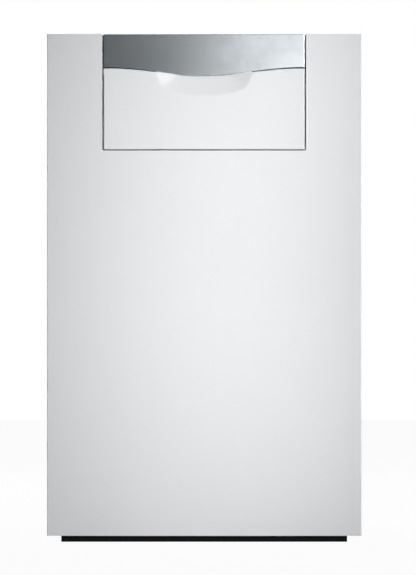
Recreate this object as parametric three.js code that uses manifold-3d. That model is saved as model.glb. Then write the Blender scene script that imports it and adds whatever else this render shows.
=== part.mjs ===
// Floor standing gas boiler: a cast iron sectional heat exchanger over an atmospheric burner, in a white
// sheet steel casing. The controls sit behind a flap in the upper front, and the flue gas leaves through a
// draught diverter at the back.
// Millimetres, +Z up, seen from the front: X runs to the right and Y to the back. Pieces are placed from the
// foremost line of the front panel (Y = 0) and the floor (Z = 0). The group that is exported moves them back
// so that the origin lies under the middle of the whole boiler.

import * as THREE from "three";
import { ConvexGeometry } from "three/addons/geometries/ConvexGeometry.js";
import { mergeVertices } from "three/addons/utils/BufferGeometryUtils.js";
import Module from "manifold-3d";

const wasm = await Module();
wasm.setup();

// Driving dimensions of the whole boiler
const overallHeight = 841;
const casingWidth = 520;
const casingDepth = 600;
const overallDepth = 750;
const plinthShow = 11;
const plinthInset = 23;
const openingWidth = 336.4;
const openingHeight = 191;

// Gaps between pieces, and how far a cutting tool runs past what it cuts
const fit = 0.3;
const seam = 0.8;
const flapGap = 1.8;
const overrun = 5;

// Sheet metal of the casing
const sheet = 1.2;
const panelFlange = 14;
const frontBow = 3;
const frontCorner = 14;
const frontReturn = 41;
const openingFlange = 14;
const lidHeight = 24;
const lidEdge = 6;

// Facets of round pieces, a share of them on curved outlines
const fineSides = 24;
const roundSides = 16;
const smallSides = 12;
const tinySides = 8;
const hexSides = 6;
const bowSteps = 6;
const cornerSteps = 2;

// Places that several pieces share
const halfWidth = casingWidth / 2;
const casingBottom = plinthShow;
const lidBottom = overallHeight - lidHeight;
const sideTop = lidBottom - seam;
const sideFront = frontReturn + seam;
const innerHalf = halfWidth - sheet;
const openingHalf = openingWidth / 2;
const openingBottom = overallHeight - openingHeight;
const plinthHalf = halfWidth - plinthInset;

// A manifold solid from a closed three.js geometry; one that faces inwards is turned round.
const weldDistance = 1e-4;
function solid(geometry) {
  const bare = geometry.index ? geometry.toNonIndexed() : geometry.clone();
  const points = new THREE.BufferGeometry().setAttribute("position", bare.getAttribute("position"));
  const merged = mergeVertices(points, weldDistance);
  const triVerts = new Uint32Array(merged.index.array);
  const vertProperties = merged.attributes.position.array;
  const made = new wasm.Manifold(new wasm.Mesh({ numProp: 3, vertProperties, triVerts }));
  if (made.volume() > 0) return made;
  for (let i = 0; i < triVerts.length; i += 3) {
    const first = triVerts[i];
    triVerts[i] = triVerts[i + 1];
    triVerts[i + 1] = first;
  }
  return new wasm.Manifold(new wasm.Mesh({ numProp: 3, vertProperties, triVerts }));
}

// The BufferGeometry of a manifold solid.
function geometryOf(shape) {
  const mesh = shape.getMesh();
  const geometry = new THREE.BufferGeometry();
  geometry.setAttribute("position", new THREE.BufferAttribute(mesh.vertProperties, mesh.numProp));
  geometry.setIndex(new THREE.BufferAttribute(mesh.triVerts, 1));
  const flat = geometry.toNonIndexed();
  flat.computeVertexNormals();
  return flat;
}

const join = (shapes) => shapes.reduce((sum, shape) => sum.add(shape));
const cut = (shape, tools) => tools.reduce((left, tool) => left.subtract(tool), shape);

// A range about a middle, and a range on the other side of X = 0 where side is -1.
const about = (middle, half) => [middle - half, middle + half];
const onSide = (side, range) => (side > 0 ? range : [-range[1], -range[0]]);

// How a piece's own (u, v, w) lie in (x, y, z), with w along the axis of that name.
const along = {
  x: (u, v, w) => [w, u, v],
  y: (u, v, w) => [u, w, v],
  z: (u, v, w) => [u, v, w],
};

// Moves every point of a geometry by a map, so that equal planes of two pieces are exactly equal.
function mapped(geometry, map) {
  const at = geometry.getAttribute("position");
  for (let i = 0; i < at.count; i += 1) {
    at.setXYZ(i, ...map(at.getX(i), at.getY(i), at.getZ(i)));
  }
  return solid(geometry);
}

// A box between three ranges.
function block(x, y, z) {
  const end = (value, range) => (value < 0 ? range[0] : range[1]);
  return mapped(new THREE.BoxGeometry(), (a, b, c) => [end(a, x), end(b, y), end(c, z)]);
}

// An outline swept along an axis: drawn in (y, z) for "x", in (x, z) for "y" and in (x, y) for "z".
function prism(axis, outline, range, curveSegments = bowSteps) {
  const geometry = new THREE.ExtrudeGeometry(outline, { depth: 1, bevelEnabled: false, curveSegments });
  return mapped(geometry, (u, v, w) => along[axis](u, v, w > 0 ? range[1] : range[0]));
}

// A solid of revolution about a line along an axis through (u, v), from points of radius and height.
function turned(axis, profile, u, v, sides = roundSides) {
  const geometry = new THREE.LatheGeometry(
    profile.map(([radius, height]) => new THREE.Vector2(radius, height)),
    sides,
  );
  return mapped(geometry, (a, height, b) => along[axis](u + a, v + b, height));
}

// A cylinder along an axis.
function round(axis, radius, range, u, v, sides = roundSides) {
  const profile = [
    [0, range[0]],
    [radius, range[0]],
    [radius, range[1]],
    [0, range[1]],
  ];
  return turned(axis, profile, u, v, sides);
}

// A closed outline through points.
function outlineOf(points) {
  return new THREE.Shape(points.map(([a, b]) => new THREE.Vector2(a, b)));
}

// A rectangle with rounded corners between two ranges.
function roundedRectangle(a, b, radius) {
  const shape = new THREE.Shape();
  shape.absarc(a[0] + radius, b[0] + radius, radius, Math.PI, 1.5 * Math.PI, false);
  shape.absarc(a[1] - radius, b[0] + radius, radius, 1.5 * Math.PI, 2 * Math.PI, false);
  shape.absarc(a[1] - radius, b[1] - radius, radius, 0, 0.5 * Math.PI, false);
  shape.absarc(a[0] + radius, b[1] - radius, radius, 0.5 * Math.PI, Math.PI, false);
  shape.closePath();
  return shape;
}

// A pipe's centre line: straight runs between corners, with each corner turned at a bend radius.
class PipeLine extends THREE.Curve {
  constructor(corners, bendRadius, bendSteps) {
    super();
    const at = corners.map((corner) => new THREE.Vector3(...corner));
    this.line = [at[0]];
    for (let i = 1; i < at.length - 1; i += 1) {
      const before = at[i - 1].clone().sub(at[i]).normalize();
      const after = at[i + 1].clone().sub(at[i]).normalize();
      const from = at[i].clone().addScaledVector(before, bendRadius);
      const to = at[i].clone().addScaledVector(after, bendRadius);
      const centre = from.clone().addScaledVector(after, bendRadius);
      const start = from.clone().sub(centre);
      const end = to.clone().sub(centre);
      for (let step = 0; step <= bendSteps; step += 1) {
        const angle = (step / bendSteps) * (Math.PI / 2);
        const point = centre.clone();
        point.addScaledVector(start, Math.cos(angle));
        point.addScaledVector(end, Math.sin(angle));
        this.line.push(point);
      }
    }
    this.line.push(at[at.length - 1]);
  }
  getPoint(t, target = new THREE.Vector3()) {
    const along = t * (this.line.length - 1);
    const index = Math.min(Math.floor(along), this.line.length - 2);
    return target.lerpVectors(this.line[index], this.line[index + 1], along - index);
  }
  getPointAt(u, target) {
    return this.getPoint(u, target);
  }
  getTangentAt(u, target) {
    return this.getTangent(u, target);
  }
}

// A round tube along a pipe line.
function swept(line, radius, sides = smallSides) {
  const section = new THREE.Shape();
  section.absarc(0, 0, radius, 0, 2 * Math.PI, false);
  const geometry = new THREE.ExtrudeGeometry(section, {
    extrudePath: line,
    steps: line.line.length - 1,
    curveSegments: sides / 2,
  });
  return solid(geometry);
}

// The parts' finishes
const finish = (color, roughness, metalness) =>
  new THREE.MeshStandardMaterial({ color, roughness, metalness });
const whiteEnamel = finish(0xeeeff0, 0.32, 0);
const blackEnamel = finish(0x101114, 0.5, 0.1);
const silverLacquer = finish(0xa9aeb2, 0.34, 0.7);
const galvanised = finish(0xb4b9bc, 0.42, 0.9);
const castIron = finish(0x3b3d40, 0.75, 0.6);
const stainless = finish(0xa7a6a2, 0.35, 1);
const brass = finish(0xb89a4e, 0.3, 1);
const copperPipe = finish(0x8d8f91, 0.4, 0.9);
const foil = finish(0xc8cacb, 0.3, 0.9);
const greyPlastic = finish(0xb9bdc0, 0.5, 0);
const darkPlastic = finish(0x2c2f33, 0.5, 0);
const whitePlastic = finish(0xf0f1f1, 0.35, 0);
const clearPlastic = finish(0x9aa4a8, 0.1, 0);
const ceramic = finish(0xe8e4da, 0.35, 0);
const boardGreen = finish(0x2f6b45, 0.5, 0);
const redPlastic = finish(0xc23b2e, 0.4, 0);

const pieces = new THREE.Group();
function add(name, shape, material) {
  const mesh = new THREE.Mesh(geometryOf(shape), material);
  mesh.name = name;
  pieces.add(mesh);
  return mesh;
}

// Base frame: a black C-section ring on the floor with two cross rails for the castings. Its lower flange
// is raised, so that the feet can be screwed right in behind its skirt.
const plinthFront = 26;
const plinthBackInset = 6;
const frameHeight = 56;
const frameSheet = 2.5;
const lowerFlange = 40;
const upperFlange = 22;
const lowerFlangeLift = 9;
const crossRailWidth = 34;
const crossRailHeight = 28;
const plinthBack = casingDepth - plinthBackInset;

// Castings of the heat exchanger: upright slices side by side
const sectionCount = 4;
const blockSideRoom = 128;
const blockFront = 120;
const blockRearRoom = 80;
const blockTopDrop = 256;
const rimHeight = 8;
const middleBottom = 225;
const endBottom = 95;
const sectionFootWidth = 30;
const sectionFootInset = 15;
const blockBack = casingDepth - blockRearRoom;
const blockDepth = blockBack - blockFront;
const blockTop = overallHeight - blockTopDrop;
const blockHalf = halfWidth - blockSideRoom;
const sectionPitch = (2 * blockHalf) / sectionCount;

// Levelling feet
const footSideInset = 22;
const footEndInset = 24;
const footPadRadius = 17;
const footPadHeight = 6;
const footPadChamfer = 1.5;
const footFloorGap = 0.5;
const studRadius = 5;
const studTop = 50;
const nutRadius = 9.2;
const nutHeight = 9;
const footPlaces = [
  ["front_left", -1, plinthFront + footEndInset],
  ["front_right", 1, plinthFront + footEndInset],
  ["rear_left", -1, plinthBack - footEndInset],
  ["rear_right", 1, plinthBack - footEndInset],
];
const footX = plinthHalf - footSideInset;

function baseFrame() {
  const inside = (inset) => [
    about(0, plinthHalf - inset),
    [plinthFront + inset, plinthBack - inset],
  ];
  const [fullX, fullY] = inside(0);
  const floorOfFlange = lowerFlangeLift + frameSheet;
  const ceiling = frameHeight - frameSheet;
  const ring = cut(block(fullX, fullY, [0, frameHeight]), [
    block(...inside(frameSheet), [-overrun, lowerFlangeLift]),
    block(...inside(frameSheet), [floorOfFlange, ceiling]),
    block(...inside(lowerFlange), [-overrun, ceiling]),
    block(...inside(upperFlange), [lowerFlangeLift, frameHeight + overrun]),
  ]);
  const rails = [
    blockFront + sectionFootInset + sectionFootWidth / 2,
    blockBack - sectionFootInset - sectionFootWidth / 2,
  ].map((middle) => {
    const half = crossRailWidth / 2;
    const bottom = frameHeight - crossRailHeight;
    const hollow = block(fullX, about(middle, half - frameSheet), [bottom - overrun, ceiling]);
    const trimmed = block(about(0, plinthHalf - frameSheet / 2), about(middle, half), [bottom, frameHeight]);
    return trimmed.subtract(hollow);
  });
  const nuts = footPlaces.map(([, side, y]) =>
    round("z", nutRadius, [floorOfFlange - frameSheet / 2, floorOfFlange + nutHeight], side * footX, y, hexSides),
  );
  const holes = footPlaces.map(([, side, y]) =>
    round("z", studRadius + fit, [-overrun, ceiling], side * footX, y, smallSides),
  );
  return cut(join([ring, ...rails, ...nuts]), holes);
}

add("base_frame", baseFrame(), blackEnamel);

// A foot: a round pad with a threaded stud that runs through the frame's welded nut.
function levellingFoot(x, y) {
  const padTop = footFloorGap + footPadHeight;
  const profile = [
    [0, footFloorGap],
    [footPadRadius - footPadChamfer, footFloorGap],
    [footPadRadius, footFloorGap + footPadChamfer],
    [footPadRadius, padTop - footPadChamfer],
    [nutRadius, padTop],
    [studRadius, padTop],
    [studRadius, studTop],
    [0, studTop],
  ];
  return turned("z", profile, x, y, smallSides);
}

for (const [place, side, y] of footPlaces) {
  add("levelling_foot_" + place, levellingFoot(side * footX, y), darkPlastic);
}

// Front panel: one bowed sheet with upright rounded edges, folded back all round, and notched for the flap.
const faceAt = (x) => frontBow * (x / halfWidth) ** 2;

// Plan of the front panel's outside, set in by a wall, back to a depth.
function frontPlan(inset, back) {
  const half = halfWidth - inset;
  const radius = frontCorner - inset;
  const edge = faceAt(halfWidth - frontCorner) + inset;
  const shape = new THREE.Shape();
  shape.moveTo(-half, back);
  shape.lineTo(-half, edge + radius);
  shape.absarc(-half + radius, edge + radius, radius, Math.PI, 1.5 * Math.PI, false);
  shape.quadraticCurveTo(0, 2 * inset - edge, half - radius, edge);
  shape.absarc(half - radius, edge + radius, radius, 1.5 * Math.PI, 2 * Math.PI, false);
  shape.lineTo(half, back);
  shape.closePath();
  return shape;
}

// Plan of a piece that follows the same bow, between two widths either side.
function bowedPlan(half, inset, back) {
  const edge = faceAt(half) + inset;
  const shape = new THREE.Shape();
  shape.moveTo(-half, back);
  shape.lineTo(-half, edge);
  shape.quadraticCurveTo(0, 2 * inset - edge, half, edge);
  shape.lineTo(half, back);
  shape.closePath();
  return shape;
}

function frontPanel() {
  const lowerReturn = block(
    about(0, innerHalf),
    [plinthFront - seam, frontReturn + overrun],
    [casingBottom - overrun, casingBottom + sheet + fit],
  );
  const full = [casingBottom, overallHeight];
  const outside = prism("z", frontPlan(0, frontReturn), full);
  const inside = prism(
    "z",
    frontPlan(sheet, frontReturn + overrun),
    [casingBottom + sheet, overallHeight - sheet],
  );
  const flange = block(
    about(0, openingHalf + sheet),
    [-overrun, openingFlange],
    [openingBottom - sheet, overallHeight],
  ).intersect(outside);
  const notch = block(
    about(0, openingHalf),
    [-overrun, frontReturn + overrun],
    [openingBottom, overallHeight + overrun],
  );
  return cut(outside.subtract(inside).add(flange), [notch, lowerReturn]);
}

add("front_panel", frontPanel(), whiteEnamel);

// Side panels: flat sheets with a flange along every edge. The lower flange reaches the base frame.
const rearFlangeBack = casingDepth - sheet - fit;

function sidePanel(side) {
  const within = (range) => onSide(side, range);
  const inward = plinthHalf - overrun;
  const full = block(within([plinthHalf + fit, halfWidth]), [sideFront, casingDepth], [casingBottom, sideTop]);
  return cut(full, [
    block(
      within([inward, halfWidth - panelFlange]),
      [sideFront - overrun, casingDepth + overrun],
      [casingBottom + sheet, sideTop + overrun],
    ),
    block(
      within([inward, innerHalf]),
      [sideFront + sheet, rearFlangeBack - sheet],
      [casingBottom + sheet, sideTop - sheet],
    ),
    block(
      within([inward, innerHalf]),
      [rearFlangeBack, casingDepth + overrun],
      [casingBottom - overrun, sideTop + overrun],
    ),
  ]);
}

add("left_side_panel", sidePanel(-1), whiteEnamel);
add("right_side_panel", sidePanel(1), whiteEnamel);

// Top cover: a shallow pan with rounded side edges that lifts off the side panels.
function topCover() {
  const arch = (inset, bottom) => {
    const half = halfWidth - inset;
    const radius = lidEdge - inset;
    const top = overallHeight - inset;
    const shape = new THREE.Shape();
    shape.moveTo(-half, bottom);
    shape.lineTo(half, bottom);
    shape.absarc(half - radius, top - radius, radius, 0, 0.5 * Math.PI, false);
    shape.absarc(-half + radius, top - radius, radius, 0.5 * Math.PI, Math.PI, false);
    shape.closePath();
    return shape;
  };
  const outside = prism("y", arch(0, lidBottom), [sideFront, casingDepth], cornerSteps);
  const hollow = prism(
    "y",
    arch(sheet, lidBottom - overrun),
    [sideFront + sheet, casingDepth - sheet],
    cornerSteps,
  );
  return outside.subtract(hollow);
}

add("top_cover", topCover(), whiteEnamel);

// Rail across the front between the side panels, which carries the controls.
const railDepth = 30;
const railHeight = 30;
const railSheet = 2;
const housingBottom = openingBottom + flapGap;
const fasciaThickness = 3;
const fasciaDepth = 38;
const housingFront = fasciaDepth + fasciaThickness + fit;
const railTop = housingBottom - fit;
const railFront = housingFront + fasciaThickness;

function upperFrontRail() {
  const x = about(0, innerHalf - fit);
  return block(x, [railFront, railFront + railDepth], [railTop - railHeight, railTop]).subtract(
    block(
      about(0, halfWidth),
      [railFront + railSheet, railFront + railDepth + overrun],
      [railTop - railHeight + railSheet, railTop - railSheet],
    ),
  );
}

add("upper_front_rail", upperFrontRail(), galvanised);

// Castings: hollow for the water, joined through an upper and a lower port. Their faces carry upright
// fins, and the rims along the front and back edges close the flue ways between two slices.
const castingWall = 6;
const castingCorner = 24;
const rimWidth = 14;
const portInset = 60;
const upperPortDrop = 42;
const lowerPortRise = 42;
const portBossRadius = 32;
const portRadius = 22;
const portBossOut = 10;
const finCount = 6;
const finWidth = 6;
const finHeight = 6.5;
const finMargin = 34;
const chamberWall = 20;
const tieInset = 20;
const tieBossRadius = 12;
const tieRadius = 5;
const tieNutRadius = 9;
const tieNutHeight = 8;
const tieRodEnd = 1.5;
const portY = blockBack - portInset;
const upperPortZ = blockTop - upperPortDrop;
const lowerPortZ = middleBottom + lowerPortRise;
const tiePlaces = [
  ["upper_tie_rod", blockFront + tieInset, blockTop - tieInset],
  ["lower_tie_rod", blockBack - tieInset, middleBottom + tieInset],
];

// One casting, from its place in the row; the end ones reach down beside the burners to the base frame.
function casting(index) {
  const isLeftEnd = index === 0;
  const isRightEnd = index === sectionCount - 1;
  const left = -blockHalf + index * sectionPitch;
  const right = left + sectionPitch;
  const bodyLeft = isLeftEnd ? left : left + rimHeight;
  const bodyRight = isRightEnd ? right : right - rimHeight;
  const faceLeft = isLeftEnd ? left : left + fit / 2;
  const faceRight = isRightEnd ? right : right - fit / 2;
  const outline = (inset) =>
    roundedRectangle(
      [blockFront + inset, blockBack - inset],
      [middleBottom + inset, blockTop - inset],
      castingCorner - inset,
    );
  const full = prism("x", outline(0), [faceLeft, faceRight], cornerSteps);
  const rims = [
    [blockFront, blockFront + rimWidth],
    [blockBack - rimWidth, blockBack],
  ].map((y) => full.intersect(block([faceLeft, faceRight], y, [middleBottom, blockTop])));
  const shell = prism("x", outline(0), [bodyLeft, bodyRight], cornerSteps);
  const water = prism("x", outline(castingWall), [bodyLeft + castingWall, bodyRight - castingWall], cornerSteps);

  const finSpan = blockDepth - 2 * (rimWidth + finMargin);
  const fins = [];
  for (let fin = 0; fin < finCount; fin += 1) {
    const middle = blockFront + rimWidth + finMargin + (finSpan * fin) / (finCount - 1);
    const height = [middleBottom + finMargin, blockTop - finMargin];
    if (!isLeftEnd) fins.push(block([bodyLeft - finHeight, bodyLeft + castingWall / 2], about(middle, finWidth / 2), height));
    if (!isRightEnd) fins.push(block([bodyRight - castingWall / 2, bodyRight + finHeight], about(middle, finWidth / 2), height));
  }

  const bossLeft = isLeftEnd ? left - portBossOut : faceLeft;
  const bossRight = isRightEnd ? right + portBossOut : faceRight;
  const boreLeft = isLeftEnd ? bodyLeft + castingWall : bossLeft - overrun;
  const boreRight = bossRight + overrun;
  const bosses = [upperPortZ, lowerPortZ].map((z) =>
    round("x", portBossRadius, [bossLeft, bossRight], portY, z, smallSides),
  );
  const bores = [upperPortZ, lowerPortZ].map((z) =>
    round("x", portRadius, [boreLeft, boreRight], portY, z, tinySides),
  );
  const tieBosses = tiePlaces.map(([, y, z]) =>
    round("x", tieBossRadius, [faceLeft, faceRight], y, z, tinySides),
  );
  const tieHoles = tiePlaces.map(([, y, z]) =>
    round("x", tieRadius + fit, [faceLeft - overrun, faceRight + overrun], y, z, tinySides),
  );

  const legs = [];
  if (isLeftEnd || isRightEnd) {
    const wallX = isLeftEnd ? [left, left + chamberWall] : [right - chamberWall, right];
    legs.push(block(wallX, [blockFront, blockBack], [endBottom, middleBottom + castingCorner + castingWall]));
    for (const y of [blockFront + sectionFootInset, blockBack - sectionFootInset - sectionFootWidth]) {
      legs.push(block(wallX, [y, y + sectionFootWidth], [frameHeight + fit, endBottom + overrun]));
    }
  }
  const walls = join([shell, ...rims, ...fins, ...bosses, ...legs]);
  return cut(walls.subtract(water).add(join(tieBosses)), [...bores, ...tieHoles]);
}

const castingNames = ["left_end_section", "middle_section_left", "middle_section_right", "right_end_section"];
castingNames.forEach((name, index) => {
  add(name, casting(index), castIron);
});

// Tie rods draw the castings together; each has a nut at both ends.
function tieRod(y, z) {
  const nutFrom = blockHalf + fit;
  const nutTo = nutFrom + tieNutHeight;
  return join([
    round("x", tieRadius, about(0, nutTo + tieRodEnd), y, z, tinySides),
    round("x", tieNutRadius, [nutFrom, nutTo], y, z, hexSides),
    round("x", tieNutRadius, [-nutTo, -nutFrom], y, z, hexSides),
  ]);
}

for (const [name, y, z] of tiePlaces) {
  add(name, tieRod(y, z), galvanised);
}

// Insulation: a foil-faced blanket round the sides and back, and another over the front of the castings.
const blanket = 25;
const blanketBottom = 100;
const pipeClearance = 2;
const blanketInner = blockHalf + portBossOut + fit;
const blanketOuter = blanketInner + blanket;
const burnerPlateTop = 231;

// Water and gas pipes
const waterPipeRadius = 16.8;
const waterBoreRadius = 13.4;
const waterPipeSideRoom = 55;
const waterPipeReach = 65;
const pipeBend = 34;
const pipeBendSteps = 3;
const unionRadius = 24;
const unionLength = 18;
const unionGap = 8;
const pipeFlangeRadius = 29;
const pipeFlangeThickness = 8;
const gasPipeRadius = 13.4;
const gasBoreRadius = 10;
const gasPipeSideRoom = 45;
const gasPipeZ = 136;
const gasPipeReach = 55;
const waterPipeX = halfWidth - waterPipeSideRoom;
const waterPipeBack = casingDepth + waterPipeReach;
const gasPipeX = gasPipeSideRoom - halfWidth;
const gasPipeBack = casingDepth + gasPipeReach;

function blockInsulation() {
  const z = [blanketBottom, blockTop];
  const open = [blanketBottom - overrun, blockTop + overrun];
  const wrap = block(about(0, blanketOuter), [blockFront, blockBack + fit + blanket], z);
  const holes = [upperPortZ, lowerPortZ].map((height) =>
    round("x", pipeFlangeRadius + pipeClearance, [0, blanketOuter + overrun], portY, height, roundSides),
  );
  return cut(wrap, [block(about(0, blanketInner), [blockFront - overrun, blockBack + fit], open), ...holes]);
}

add("block_insulation", blockInsulation(), foil);

function frontInsulation() {
  const back = blockFront - fit;
  return block(about(0, blanketOuter), [back - blanket, back], [burnerPlateTop + fit, blockTop]);
}

add("front_insulation", frontInsulation(), foil);

// Flue collector: a sheet metal hood over the castings whose duct runs back through the rear panel. Its
// cleaning hole has a plate with two wing nuts.
const hoodSheet = 1.5;
const hoodInset = 6;
const hoodFoot = 12;
const hoodHeight = 55;
const hoodSlope = 64;
const ductInset = 21;
const ductHeight = 44;
const ductReach = 8;
const cleaningInset = 60;
const cleaningLength = 160;
const cleaningRearRoom = 90;
const cleaningLap = 14;
const wingNutRadius = 7;
const wingNutHeight = 14;
const wingHalf = 15;
const wingThickness = 3.5;
const hoodBottom = blockTop + fit;
const hoodTop = blockTop + hoodHeight;
const hoodHalf = blockHalf - hoodInset;
const ductHalf = hoodHalf - ductInset;
const cleaningHalf = hoodHalf - cleaningInset;
const cleaningBack = blockBack - cleaningRearRoom;
const cleaningFront = cleaningBack - cleaningLength;
const ductBottom = hoodTop - ductHeight;
const ductBack = casingDepth + ductReach;

function flueCollector() {
  const hood = (inset) =>
    outlineOf([
      [blockFront + hoodInset + inset, hoodBottom - (inset > 0 ? overrun : 0)],
      [blockBack - hoodInset - inset, hoodBottom - (inset > 0 ? overrun : 0)],
      [blockBack - hoodInset - inset, hoodTop - inset],
      [blockFront + hoodInset + hoodSlope + inset / 2, hoodTop - inset],
      [blockFront + hoodInset + inset, hoodBottom + hoodFoot],
    ]);
  const duct = (inset, extra) =>
    block(
      about(0, ductHalf - inset),
      [blockBack - hoodInset - hoodFoot, ductBack + extra],
      [ductBottom + inset, hoodTop - inset],
    );
  return cut(prism("x", hood(0), about(0, hoodHalf)).add(duct(0, 0)), [
    prism("x", hood(hoodSheet), about(0, hoodHalf - hoodSheet)),
    duct(hoodSheet, overrun),
    block(about(0, cleaningHalf), [cleaningFront, cleaningBack], [hoodTop - overrun, hoodTop + overrun]),
  ]);
}

add("flue_collector", flueCollector(), galvanised);

function cleaningCover() {
  const z = hoodTop + fit;
  const plate = block(
    about(0, cleaningHalf + cleaningLap),
    [cleaningFront - cleaningLap, cleaningBack + cleaningLap],
    [z, z + hoodSheet],
  );
  const nuts = [cleaningFront, cleaningBack].flatMap((y) => [
    round("z", wingNutRadius, [z, z + wingNutHeight], 0, y, smallSides),
    block(about(0, wingHalf), about(y, wingThickness / 2), [z + wingNutHeight / 2, z + wingNutHeight]),
  ]);
  return join([plate, ...nuts]);
}

add("cleaning_cover", cleaningCover(), galvanised);

// Draught diverter: a galvanised hood on the back with a flared open skirt, a baffle in front of the duct,
// and the spigot that the flue pipe slides over.
const diverterSideRoom = 110;
const diverterDepth = 105;
const diverterNeckDepth = 90;
const diverterSkirt = 126;
const diverterFlare = 70;
const diverterTopDrop = 41;
const diverterSlope = 28;
const spigotRadius = 65;
const spigotDrop = 110;
const spigotLip = 4;
const baffleGap = 42;
const baffleRise = 26;
const diverterHalf = halfWidth - diverterSideRoom;
const diverterBottom = ductBottom - diverterSkirt;
const diverterTop = overallHeight - diverterTopDrop;
const spigotHeight = diverterTop - spigotDrop;
const diverterFront = casingDepth + fit;
const diverterBack = casingDepth + diverterDepth;
const neckBack = casingDepth + diverterNeckDepth;

function draughtDiverter() {
  const side = (inset) =>
    outlineOf([
      [diverterFront + inset, diverterBottom - (inset > 0 ? overrun : 0)],
      [diverterBack - inset, diverterBottom - (inset > 0 ? overrun : 0)],
      [diverterBack - inset, diverterBottom + spigotLip],
      [neckBack - inset, diverterBottom + diverterFlare],
      [neckBack - inset, diverterTop - diverterSlope - inset / 2],
      [neckBack - diverterSlope - inset / 2, diverterTop - inset],
      [diverterFront + inset, diverterTop - inset],
    ]);
  const shell = prism("x", side(0), about(0, diverterHalf));
  const spigot = round(
    "y",
    spigotRadius,
    [neckBack - hoodSheet, overallDepth],
    0,
    spigotHeight,
    fineSides,
  );
  const bead = round("y", spigotRadius + spigotLip / 2, about(overallDepth - 3 * spigotLip, spigotLip / 2), 0,
    spigotHeight, fineSides);
  const hollow = cut(join([shell, spigot, bead]), [
    prism("x", side(hoodSheet), about(0, diverterHalf - hoodSheet)),
    round("y", spigotRadius - hoodSheet, [neckBack - overrun, overallDepth + overrun], 0, spigotHeight, fineSides),
    block(
      about(0, ductHalf + pipeClearance),
      [casingDepth - overrun, diverterFront + overrun],
      [ductBottom - pipeClearance, hoodTop + pipeClearance],
    ),
  ]);
  const baffleFront = diverterFront + baffleGap;
  const baffle = block(
    about(0, diverterHalf - hoodSheet / 2),
    [baffleFront, baffleFront + hoodSheet],
    [ductBottom - baffleRise, hoodTop + baffleRise],
  );
  return hollow.add(baffle);
}

add("draught_diverter", draughtDiverter(), galvanised);

// Cable gland in the rear panel: a bare inlet for the mains cable.
const glandSideRoom = 55;
const glandDrop = 141;
const glandX = glandSideRoom - halfWidth;
const glandZ = overallHeight - glandDrop;
const glandHoleRadius = 8;
const glandNutRadius = 12;
const glandNutDepth = 7;
const glandDomeRadius = 9;
const glandDomeDepth = 12;
const glandBoreRadius = 4.2;

function cableGland() {
  const outside = casingDepth + fit;
  const inside = casingDepth - sheet - fit;
  const nut = (y) => round("y", glandNutRadius, y, glandX, glandZ, hexSides);
  const dome = turned(
    "y",
    [
      [0, outside],
      [glandDomeRadius, outside],
      [glandDomeRadius, outside + glandNutDepth + glandDomeDepth / 2],
      [glandBoreRadius + hoodSheet, outside + glandNutDepth + glandDomeDepth],
      [0, outside + glandNutDepth + glandDomeDepth],
    ],
    glandX,
    glandZ,
    smallSides,
  );
  const barrel = round("y", glandHoleRadius - fit, [inside - glandNutDepth, outside + fit], glandX, glandZ, smallSides);
  const bore = round("y", glandBoreRadius, [inside - 2 * glandDomeDepth, outside + 2 * glandDomeDepth], glandX, glandZ,
    smallSides);
  return join([
    nut([outside, outside + glandNutDepth]),
    nut([inside - glandNutDepth, inside]),
    dome,
    barrel,
  ]).subtract(bore);
}

add("cable_gland", cableGland(), darkPlastic);

// Rear panel: a flat sheet inside the side panels, with square cut-outs for the duct and the pipes and a
// round hole for the cable gland.
function rearPanel() {
  const x = about(0, innerHalf - fit);
  const back = [casingDepth - sheet, casingDepth];
  const height = [casingBottom, sideTop];
  const body = join([
    block(x, back, height),
    block(about(0, plinthHalf), [plinthBack + fit, casingDepth], [casingBottom, casingBottom + sheet]),
    block(about(0, halfWidth - panelFlange - fit), [casingDepth - panelFlange, casingDepth], [sideTop - sheet, sideTop]),
  ]);
  const through = [casingDepth - panelFlange / 2, casingDepth + overrun];
  const pipeHole = (radius, u, z) =>
    block(about(u, radius + pipeClearance), through, about(z, radius + pipeClearance));
  return cut(body, [
    block(about(0, ductHalf + pipeClearance), through, [ductBottom - pipeClearance, hoodTop + pipeClearance]),
    pipeHole(waterPipeRadius, waterPipeX, upperPortZ),
    pipeHole(waterPipeRadius, waterPipeX, lowerPortZ),
    pipeHole(gasPipeRadius, gasPipeX, gasPipeZ),
    round("y", glandHoleRadius, through, glandX, glandZ, smallSides),
  ]);
}

add("rear_panel", rearPanel(), whiteEnamel);

// Flow and return pipes: flanged to the right end casting, bent back and out through the rear panel, where
// each ends in a one inch male thread behind a hexagon. Bosses are welded on before the bore is made.
function waterPipe(z, bosses = []) {
  const start = blockHalf + portBossOut + fit;
  const line = new PipeLine(
    [
      [start, portY, z],
      [waterPipeX, portY, z],
      [waterPipeX, waterPipeBack, z],
    ],
    pipeBend,
    pipeBendSteps,
  );
  const longer = new PipeLine(
    [
      [start - overrun, portY, z],
      [waterPipeX, portY, z],
      [waterPipeX, waterPipeBack + overrun, z],
    ],
    pipeBend,
    pipeBendSteps,
  );
  const flange = round("x", pipeFlangeRadius, [start, start + pipeFlangeThickness], portY, z, roundSides);
  const unionFrom = casingDepth + unionGap;
  const hexagon = round("y", unionRadius, [unionFrom, unionFrom + unionLength], waterPipeX, z, hexSides);
  return join([swept(line, waterPipeRadius), flange, hexagon, ...bosses]).subtract(swept(longer, waterBoreRadius));
}

add("flow_pipe", waterPipe(upperPortZ), copperPipe);

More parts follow.
